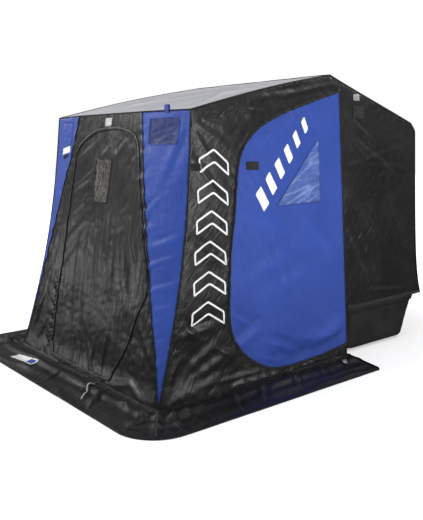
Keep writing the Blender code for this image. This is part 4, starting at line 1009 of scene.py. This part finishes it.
def build_corner(side, sign, drape):
    panel = Panel(f"corner_cloth_{side}", drape, "front_bow")
    heights = np.concatenate([CORNER_ROWS, np.linspace(0.15, TOP_Z, 50)])
    inner = [(sign * (seam_x(z) + EDGE), z) for z in heights]
    outer = [(sign * (side_x(corner_y(z), z) - EDGE), z) for z in heights]
    pane_look = "blue_vinyl" if side == "right" else "blue_cloth"  # the left window is covered
    pane = window(panel, f"corner_pane_{side}", [(sign * x, z) for x, z in CORNER_WINDOW], pane_look,
                  "blue_vinyl", f"corner_window_{side}",
                  lambda x, z: 0.0012 * ripples(x, z, 74, 0.12, 0.022, 85)
                  + 0.0003 * noise(x / 0.014, z / 0.03, 75), "blue_webbing", 0.007)
    panel.cut(inner + outer[::-1], "blue_cloth", "blue_cloth", [pane])
    panel.band(f"corner_seam_{side}", inner, 0.0050, 0.0042, proud=0.0004)
    panel.band(f"corner_piping_{side}", [(outer[0][0], 0.004)] + [(x + sign * 0.001, z) for x, z in outer],
               0.0070, 0.0070, proud=-0.001)
    panel.stitch(f"corner_stitches_{side}", [[(x + sign * 0.011, z) for x, z in inner]], "blue_thread",
                 slot="blue_cloth")
    if side == "left":
        panel.patch("corner_patch", rounded(rectangle((-0.570, 1.482), (0.150, 0.046), 8.0), 0.010),
                    "white_print", "blue_cloth", 0.0006)
        panel.patch("corner_patch_low", rounded(rectangle((-0.575, 1.438), (0.090, 0.026), 8.0), 0.006),
                    "velcro", proud=0.0012)
    else:
        base_y = float(front_y(LOOP_X, FRONT_TOP_Z)) + 0.002
        arch = [(LOOP_X, base_y - LOOP_HALF * math.cos(t), LOOP_Z + LOOP_RISE * math.sin(t))
                for t in np.linspace(0, math.pi, 13)]
        arch = [(LOOP_X, base_y - LOOP_HALF, 1.708), *arch, (LOOP_X, base_y + LOOP_HALF, 1.708)]
        outward = [(0.0, (y - base_y) / LOOP_HALF, max(0.0, z - LOOP_Z) / LOOP_RISE) for _, y, z in arch]
        panel.add(sweep("corner_loop", arch, outward, 0.042, 0.0030, "blue_webbing"), "blue_cloth")
    panel.declare(f"corner_panel_{side}")


# ---------------------------------------------------------------- the sides

def under_roof(y):
    return float(roof_z(0.0, y)) - 0.004


def build_side(side):
    drape = DRAPES[side]
    wall = Panel(f"side_front_cloth_{side}", drape, "front_bow")
    door = Panel(f"side_door_cloth_{side}", drape, f"side_door_{side}")
    corner = [(float(corner_y(z)), z) for z in np.linspace(HEM_Z, TOP_Z, 50)]
    top = [(y, under_roof(y)) for y in np.linspace(FRONT_CORNER_Y + 0.02, HINGE_Y, 40)]
    wall.cut([(HINGE_Y, HEM_Z)] + corner + top + SIDE_ZIP[::-1], "black_cloth")
    pane = window(door, f"side_door_pane_{side}", SIDE_WINDOW, "clear_vinyl", "clear_vinyl",
                  f"side_window_{side}",
                  lambda y, z: 0.0036 * (1 - np.abs(ripples(y, z, 80, 0.30, 0.075, 20))) ** 5
                  + 0.0010 * ripples(y, z, 81, 0.20, 0.020, 26), "blue_thread", 0.009, 0.010)
    door.cut(shrink(SIDE_ZIP, DOOR_GAP), "blue_cloth", "blue_cloth", [pane])
    wall.band(f"side_door_zip_{side}", SIDE_ZIP, 0.019, 0.0022, proud=0.0006)
    wall.teeth(f"side_door_teeth_{side}", SIDE_ZIP, 0.0034)
    wall.sew(f"side_door_zip_stitches_{side}", SIDE_ZIP[3:-3], 0.0125, 0.0016)
    hinge = [z for _, z in resample([SIDE_ZIP[0], SIDE_ZIP[-1]], 0.02)]
    wall.band(f"side_hinge_seam_{side}", [(HINGE_Y + 0.001, z) for z in hinge], 0.007, 0.0026)
    door.stitch(f"side_hinge_stitches_{side}", [[(HINGE_Y - 0.012, z) for z in hinge]], "blue_thread",
                slot="blue_cloth")
    door.patch(f"side_door_velcro_{side}", rectangle((-0.335, 1.39), (0.112, 0.052)), "velcro")
    wall.patch(f"side_velcro_{side}", rectangle((-0.797, 1.39), (0.070, 0.044)), "velcro")
    add_prints(side, wall, door)
    build_side_rear(side, drape)
    wall.declare(f"side_front_{side}")
    door.declare(f"side_door_{side}")


def add_prints(side, wall, door):
    """Printed trim in place of lettering: a column of outlined chevrons, and bars beside the window."""
    arm, rise, width, tilt = 0.086, 0.072, 0.262, 0.012
    for i in range(PRINTS):
        share = i / (PRINTS - 1)
        left, low = -0.872 + 0.100 * share, 0.436 + 0.905 * share
        right, half = left + width * (1 - 0.10 * share), left + width * (0.5 - 0.05 * share)
        chevron = [(left, low + tilt), (half, low + rise), (right, low - tilt),
                   (right, low + arm - tilt), (half, low + arm + rise), (left, low + arm + tilt)]
        chevron = rounded(chevron, 0.014, 5)
        wall.add(cut_panel(f"side_chevron_{side}_{i}", wall.drape, chevron, "white_print",
                           [shrink(chevron, 0.0125)], **PRINT), "silver_cloth")
    for i, share in enumerate(np.linspace(0, 1, PRINTS)):
        y, z = -0.262 + 0.440 * share, 1.180 + 0.470 * share
        wide, tall = 0.036 - 0.010 * share, 0.066 - 0.024 * share
        bar = [(y + 0.68 * a * wide - 0.73 * b * tall + tilt * b,
                z + 0.73 * a * wide + 0.68 * b * tall + tilt * b)
               for a, b in ((-1, -1), (1, -1), (1, 1), (-1, 1))]
        door.add(cut_panel(f"side_print_{side}_{i}", wall.drape, rounded(bar, 0.007), "white_print", **PRINT),
                 "silver_cloth")


def build_side_rear(side, drape):
    low, split = SLED_RIM_Z - 0.008, HINGE_Y + EDGE
    panel = Panel(f"side_rear_cloth_{side}", drape, "rear_bow")
    top = [(y, under_roof(y)) for y in np.linspace(split, REAR_WALL_Y - 0.004, 36)]
    back = [(float(rear_y(0.0, z)) - 0.001, z) for z in np.linspace(under_roof(REAR_WALL_Y), low, 40)]
    panel.cut([(split, low)] + top + back, "black_cloth")
    add_rear_hem(panel, "side_rear_hem", split + 0.004, 1.468, low, f"_{side}")
    panel.patch(f"side_rear_reflector_{side}", rectangle((0.734, 1.857), (0.066, 0.046)), "reflector",
                "silver_cloth")
    panel.patch(f"side_rear_velcro_{side}", rectangle((0.750, 1.755), (0.125, 0.085)), "velcro")
    panel.band(f"side_rear_corner_{side}", [(y + 0.001, z) for y, z in back], 0.006, 0.006, proud=-0.001)
    panel.declare(f"side_rear_{side}")


def add_rear_hem(panel, name, start, end, low, suffix=""):
    """The bound lower edge where the cover hangs over the sled's rim."""
    panel.band(name + suffix, [(start, low + 0.010), (end, low + 0.010)], 0.022, 0.0040, proud=0.0004)
    row = low + 0.010 + 0.004
    panel.sew(name + "_stitches" + suffix, resample([(start, row), (end, row)], 0.02), 0.004, 0.0046)


# ---------------------------------------------------------------- roof and rear wall

def build_roof():
    drape = DRAPES["roof"]
    edge_x = float(roof_edge_x(FRONT_CORNER_Y))
    front_line = [(x, float(front_y(x, FRONT_TOP_Z))) for x in np.linspace(-edge_x, edge_x, 60)]
    front_steps = np.linspace(FRONT_CORNER_Y + 0.01, RIDGE_Y - EDGE, 50)
    rear_steps = np.linspace(RIDGE_Y + EDGE, REAR_WALL_Y, 40)
    panels = []
    for part, start, steps, look in (("front", front_line, front_steps, "silver_cloth"),
                                     ("rear", [], rear_steps, "black_cloth")):
        panel = Panel(f"roof_cloth_{part}", drape, f"{part}_bow")
        right = [(float(roof_edge_x(y)), y) for y in steps]
        panel.cut(start + mirrored(right), look, look, grain=GRAIN * 1.25)
        for side, sign in SIDES.items():
            points = [(sign * (x - 0.0005), y) for x, y in start[-1:] + right]
            panel.band(f"roof_piping_{part}_{side}", points, 0.0095, 0.0095, proud=-0.0055)
            panel.stitch(f"roof_stitches_{part}_{side}", [[(x - sign * 0.016, y) for x, y in points]])
        panel.declare(f"roof_{part}")
        panels.append(panel)
    front, rear = panels
    front.band("roof_front_piping", [(x, y - 0.001) for x, y in front_line], 0.0080, 0.0080, proud=-0.0050)
    ridge_x = float(roof_edge_x(RIDGE_Y)) - 0.012
    ridge = resample([(-ridge_x, RIDGE_Y), (ridge_x, RIDGE_Y)], 0.02)
    rear.band("roof_ridge_seam", ridge, 0.020, 0.0022, "black_cloth", 0.0002)
    rear.sew("roof_ridge_stitches", ridge, proud=0.0026)
    eave_x, eave_y = float(roof_edge_x(REAR_WALL_Y)), REAR_WALL_Y + 0.001
    rear.band("roof_eave_piping", [(-eave_x, eave_y), (eave_x, eave_y)], 0.0080, 0.0080, proud=-0.0050)


def build_rear_wall():
    low, high = SLED_RIM_Z - 0.008, float(roof_z(0.0, REAR_WALL_Y)) - 0.004
    right = [(float(side_x(rear_y(0.0, z), z)) - EDGE, z) for z in np.linspace(low, high, 40)]
    wall = Panel("rear_wall_cloth", DRAPES["rear"], "sled")
    wall.cut(mirrored(right), "black_cloth", grain=GRAIN * 1.25)
    half = right[0][0] - 0.02
    add_rear_hem(wall, "rear_hem", -half, half, low)
    wall.sew("rear_seam_stitches", resample([(0.0, low + 0.03), (0.0, high - 0.01)], 0.02))
    wall.patch("rear_reflector", rectangle((0.0, 1.52), (0.085, 0.055)), "reflector", "silver_cloth")
    wall.declare("rear_wall")


# ---------------------------------------------------------------- the skirt

def build_skirt():
    drape = DRAPES["ground"]
    join_y = SKIRT_FRONT_Y + SKIRT_CORNER_R + 0.02
    wall_x = HALF_WIDTH - 0.012
    arc = [(SKIRT_SIDE_X - SKIRT_CORNER_R * (1 - math.cos(t)),
            SKIRT_FRONT_Y + SKIRT_CORNER_R * (1 + math.sin(t))) for t in np.radians(np.linspace(-90, 0, 14))]
    edge = [(-x, y) for x, y in reversed(arc)] + arc
    front = Panel("skirt_cloth_front", drape, "front_bow")
    front.cut(mirrored(arc + [(SKIRT_SIDE_X, join_y), (wall_x, join_y), (wall_x, FRONT_GROUND_Y + 0.012)]),
              "skirt_cloth", grain=GRAIN * 0.9)
    add_skirt_hem(front, "skirt_hem_front", [(-SKIRT_SIDE_X, join_y)] + edge + [(SKIRT_SIDE_X, join_y)])
    seam = resample([(0.915, -1.150), (1.180, -1.355)], 0.02)
    front.band("skirt_corner_seam", seam, 0.009, 0.0040)
    front.sew("skirt_corner_stitches", seam, 0.009)
    front.declare("skirt_front")
    front.band("skirt_strap", [(0.250, -1.165), (0.285, -1.235), (0.335, -1.285)], 0.022, 0.0022, proud=0.003)
    ring = rounded(rectangle((0.348, -1.298), (0.040, 0.032), 40.0), 0.009)
    front.band("skirt_buckle", ring, 0.0070, 0.0060, "buckle", 0.006, loop=True, step=0.004)
    cord = [(0.300, -1.215), (0.335, -1.270), (0.375, -1.300), (0.425, -1.345), (0.470, -1.395)]
    front.band("skirt_cord", spline(cord, 0.008), 0.0090, 0.0090, "white_cord", 0.008, "silver_cloth",
               step=0.006)
    panels = {}
    for side, sign in SIDES.items():
        strip = [(wall_x, join_y + EDGE), (SKIRT_SIDE_X, join_y + EDGE), (SKIRT_SIDE_X, SKIRT_REAR_Y - 0.03),
                 (SKIRT_SIDE_X - 0.03, SKIRT_REAR_Y), (HALF_WIDTH, HINGE_Y + 0.02), (wall_x, HINGE_Y - 0.01)]
        strip = [(sign * x, y) for x, y in strip]
        panel = panels[side] = Panel(f"skirt_cloth_{side}", drape, "front_bow")
        panel.cut(strip, "skirt_cloth", grain=GRAIN * 0.9)
        add_skirt_hem(panel, f"skirt_hem_{side}", strip[1:5])
        panel.declare(f"skirt_{side}")
    panels["right"].patch("skirt_tag", rectangle((1.022, 0.366), (0.085, 0.030), -45.0), "reflector",
                          "silver_cloth", 0.010, stitched=False)
    front.patch("skirt_patch", rounded(rectangle((-0.475, -1.330), (0.290, 0.070), 4.0), 0.012),
                "white_print", "silver_cloth", 0.001, stitched=False)
    front.patch("skirt_patch_bar", rectangle((-0.380, -1.322), (0.075, 0.050), 4.0), "blue_cloth",
                "blue_cloth", 0.002, stitched=False)


def add_skirt_hem(panel, name, edge):
    panel.band(name, inward(edge, 0.008), 0.016, 0.0042, "skirt_cloth", 0.0002)
    panel.sew(name + "_stitches", inward(edge, 0.020), 0.002)


def inward(edge, inset):
    """An open edge moved towards the shelter."""
    points = np.array(resample(edge, 0.02))
    middle = len(points) // 2
    moved = np.array(beside(points, inset))
    if np.dot((moved - points)[middle], SHELTER_MIDDLE - points[middle]) < 0:
        moved = np.array(beside(points, -inset))
    return [tuple(p) for p in moved]


# ---------------------------------------------------------------- sled, frame and stage

def rounded_ring(z, half_x, y_front, y_rear, radius, steps=10):
    ring = []
    for sign, y, start in ((1, y_front, -90), (1, y_rear, 0), (-1, y_rear, 90), (-1, y_front, 180)):
        centre_y = y + radius if y == y_front else y - radius
        for i in range(steps + 1):
            angle = math.radians(start + 90 * i / steps)
            ring.append((sign * (half_x - radius) + radius * math.cos(angle),
                         centre_y + radius * math.sin(angle), z))
    return resample(ring + ring[:1], 0.03)[:-1]


def build_sled():
    """The moulded tub: drafted walls with shallow ribs, a rolled lip and a flat floor."""
    low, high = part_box("sled_tub")
    half_x, lip, wall, corner = 0.868, 0.012, 0.006, 0.10
    front, rear, draft_x, draft_front, draft_rear = 0.572, 1.448, 0.012, 0.022, 0.118
    rim, lip_z, floor = high.z, 0.30, low.z
    profile = [(floor, -0.045), (floor + 0.001, -0.030), (floor + 0.006, -0.012), (floor + 0.014, -0.004),
               (floor + 0.026, 0.0)]
    profile += [(z, 0.0) for z in np.linspace(0.06, lip_z - 0.012, 16)]
    outer_rings = len(profile)
    profile += [(lip_z - 0.005, 0.0005), (lip_z - 0.001, 0.003), (lip_z + 0.001, 0.009), (lip_z + 0.004, lip),
                (rim - 0.014, lip), (rim - 0.006, lip), (rim - 0.002, lip - 0.002), (rim, lip - 0.006),
                (rim, 0.002 - wall), (rim - 0.004, -wall), (0.16, -wall), (floor + 0.032, -wall),
                (floor + 0.012, -0.018), (floor + wall, -0.036)]
    vertices, rings = [], []
    for z, out in profile:
        drawn_in = 1 - (z - floor) / (rim - floor)
        ring = rounded_ring(z, half_x - draft_x * drawn_in + out, front + draft_front * drawn_in - out,
                            rear - draft_rear * drawn_in + out, corner + out)
        rings.append(range(len(vertices), len(vertices) + len(ring)))
        vertices += ring
    vertices = np.array(vertices)
    faces = []
    for lower, upper in zip(rings, rings[1:]):
        faces += stitch_rings(lower, upper)
    faces.append(tuple(rings[0])[::-1])
    faces.append(tuple(rings[-1]))
    outside = np.array([k for ring in rings[5:outer_rings] for k in ring])
    x, y, z = vertices[outside].T
    rib = smoothstep(np.cos(x / 0.29 * 2 * np.pi), 0.55, 0.85) * (np.abs(y - (front + rear) / 2) > 0.30)
    rib *= smoothstep(z, 0.07, 0.11) * smoothstep(z, 0.27, 0.23)
    vertices[outside, 1] -= np.sign(y - 1.0) * 0.004 * rib
    obj = add_mesh("sled_shell", vertices, faces, "polyethylene")
    turn_outward(obj)
    obj.data.set_sharp_from_angle(angle=math.radians(50))
    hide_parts("sled_tub")
    mount(obj, "sled", folds=False)


def stitch_rings(lower, upper):
    """Faces between two closed rings that may differ in their number of points."""
    n, m = len(lower), len(upper)
    faces, i, j = [], 0, 0
    while i < n or j < m:
        if i < n and (j == m or (i + 1) * m <= (j + 1) * n):
            faces.append((lower[i % n], lower[(i + 1) % n], upper[j % m]))
            i += 1
        else:
            faces.append((lower[i % n], upper[(j + 1) % m], upper[j % m]))
            j += 1
    return faces


def evaluated(obj):
    return obj.evaluated_get(bpy.context.evaluated_depsgraph_get())


def read_points(mesh, what="co"):
    values = np.zeros(len(mesh.vertices) * 3)
    mesh.vertices.foreach_get(what, values)
    return values.reshape(-1, 3)


def stuffed(node, name, shrink_by=0.006, cap=0.014):
    """A cushion in its CAD solid's place: remeshed, swollen by cloth pressure and held to a cap."""
    obj = frame["nodes"][node].copy()
    obj.data = obj.data.copy()
    obj.name = obj.data.name = name
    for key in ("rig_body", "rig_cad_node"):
        del obj[key]
    obj.parent = None
    obj.hide_render = obj.hide_viewport = False
    bpy.context.scene.collection.objects.link(obj)
    remesh = obj.modifiers.new("Even", "REMESH")
    remesh.mode = "VOXEL"
    remesh.voxel_size = 0.007
    mesh = bpy.data.meshes.new_from_object(evaluated(obj))
    obj.modifiers.clear()
    obj.data = mesh
    mesh.materials.clear()
    mesh.materials.append(LOOKS["seat_cloth"])
    points, normals = read_points(mesh), read_points(mesh, "normal")
    low, high = points.min(0), points.max(0)
    centre, half = (low + high) / 2, (high - low) / 2
    thin = int(np.argmin(half))
    long, short = wide = [k for k in range(3) if k != thin]
    share = np.abs((points - centre) / half)
    crown = (1 - share[:, long] ** 2.5) * (1 - share[:, short] ** 2.5)
    pull = np.zeros(len(points))
    for k, other in (wide, wide[::-1]):
        pull += smoothstep(share[:, k], 0.75, 1.0) * (1 - share[:, other] ** 2) * 0.010
    channels = sum(np.exp(-(((points[:, short] - centre[short] - at * half[short]) / 0.006) ** 2))
                   for at in (-0.33, 0.33))
    face = smoothstep(share[:, thin], 0.5, 1.0)
    lift = 0.007 * crown - 0.007 * channels * crown * face
    points -= normals * (shrink_by - lift[:, None] * face[:, None] + pull[:, None])
    mesh.vertices.foreach_set("co", points.ravel())
    swell(obj, points, cap)
    mesh.shade_smooth()
    return obj


def swell(obj, rest, cap, frames=16):
    """Blows a cushion up with Blender's Cloth; no point moves further than cap."""
    cloth = obj.modifiers.new("Cloth", "CLOTH")
    cloth.settings.use_pressure = True
    cloth.settings.uniform_pressure_force = 4.0
    cloth.settings.effector_weights.gravity = 0.0
    cloth.settings.quality = 5
    scene = bpy.context.scene
    for number in range(1, frames + 1):
        scene.frame_set(number)
    step = read_points(evaluated(obj).data) - rest
    obj.modifiers.clear()
    scene.frame_set(1)
    reach = np.linalg.norm(step, axis=1, keepdims=True)
    step *= np.minimum(1.0, cap / np.maximum(reach, 1e-9))
    obj.data.vertices.foreach_set("co", (rest + step).ravel())
    obj.data.update()


def build_hardware():
    """The frame's hard parts keep their CAD shape, with softened edges and their own materials."""
    slots = {row["node"]: row["material_slot"] for row in frame["record"]["subparts"]}
    for name, obj in frame["nodes"].items():
        if obj.hide_render or slots[name] not in HARD_SLOTS:
            continue
        obj.data.materials.clear()
        obj.data.materials.append(LOOKS[slots[name]])
        edges = obj.modifiers.new("Edges", "BEVEL")
        edges.width = 0.0012
        edges.segments = 2
        edges.limit_method = "ANGLE"
    for side in SIDES:
        for node, name, body in ((f"seat_cushion_{side}", f"seat_cover_{side}", f"seat_{side}"),
                                 (f"seat_back_pad_{side}", f"back_cover_{side}", f"seat_back_{side}")):
            obj = stuffed(node, name)
            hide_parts(node)
            mount(obj, body, folds=False)


LIGHTS = [  # name, place, target, size, watts
    ("key", (-3.2, -5.4, 4.2), (0.0, -0.6, 0.9), (1.8, 1.8), 215.0),
    ("front_strip", (-6.4, -5.6, 0.55), (0.0, -1.0, 0.6), (2.6, 0.9), 26.0),
    ("top", (0.2, -0.6, 6.5), (0.0, 0.0, 1.0), (3.0, 3.0), 50.0),
    ("side_strip", (6.4, 2.0, 1.6), (0.6, 0.0, 0.9), (0.8, 2.4), 90.0),
    ("side", (6.0, -1.5, 3.2), (0.6, 0.0, 0.8), (2.0, 2.0), 90.0),
    ("rake", (-5.6, -1.7, 3.5), (0.2, -1.3, 0.0), (1.5, 1.5), 40.0),
    ("back", (2.0, 4.8, 4.4), (1.0, -0.2, 0.2), (1.5, 1.5), 45.0),
]


def build_stage():
    """White paper that glows more away from the object, a white dome that darkens downwards, and lights."""
    scene = bpy.context.scene
    bpy.ops.mesh.primitive_plane_add(size=60.0, location=(0.0, 0.0, 0.0))
    floor = bpy.context.object
    floor.name = "studio_floor"
    white = (1.0, 1.0, 1.0, 1.0)
    paper = Shader("studio_floor", Base_Color=(0.90, 0.90, 0.90, 1.0), Emission_Color=white, Roughness=0.9,
                   Specular_IOR_Level=0.1)
    place = paper.node("TexCoord", output="Object")
    away = paper.node("VectorMath", {0: place}, output="Value", operation="LENGTH")
    paper.link("Emission Strength", paper.range(away, 0.36, 0.97, 2.0, 5.0))
    floor.data.materials.append(paper.material)
    floor.visible_glossy = False
    scene.world = bpy.data.worlds.new("studio")
    scene.world.use_nodes = True
    sky = Nodes(scene.world.node_tree)
    background = sky.tree.nodes["Background"]
    background.inputs["Color"].default_value = white
    upward = sky.node("SeparateXYZ", {0: sky.node("TexCoord", output="Generated")}, output=2)
    dome = sky.range(upward, 0.02, 0.60, -0.05, 0.95)
    seen = sky.node("LightPath", output="Is Camera Ray")
    strength = sky.node("MapRange", {"Value": seen, "To Min": dome, "To Max": 1.0})
    sky.tree.links.new(strength, background.inputs["Strength"])
    for light in LIGHTS:
        add_light(*light)
    scene.view_settings.view_transform = "Standard"


def add_light(name, location, target, size, power):
    data = bpy.data.lights.new(name, "AREA")
    data.shape = "ELLIPSE"
    data.size, data.size_y = size
    data.energy = power
    light = bpy.data.objects.new(name, data)
    light.location = location
    light.rotation_euler = (Vector(target) - Vector(location)).to_track_quat("-Z", "Y").to_euler()
    bpy.context.scene.collection.objects.link(light)


def build_camera():
    data = bpy.data.cameras.new("camera")
    data.lens, data.sensor_width = 46.63, 36.0
    data.clip_end = 200.0
    camera = bpy.data.objects.new("camera", data)
    camera.location = (3.922, -3.251, 1.503)
    camera.rotation_euler = (math.radians(90 - 9.4855), 0.0, math.radians(50.294))
    bpy.context.scene.collection.objects.link(camera)
    bpy.context.scene.camera = camera


build_camera()
build_stage()
build_front()
for side in SIDES:
    build_side(side)
build_roof()
build_rear_wall()
build_skirt()
build_sled()
build_hardware()
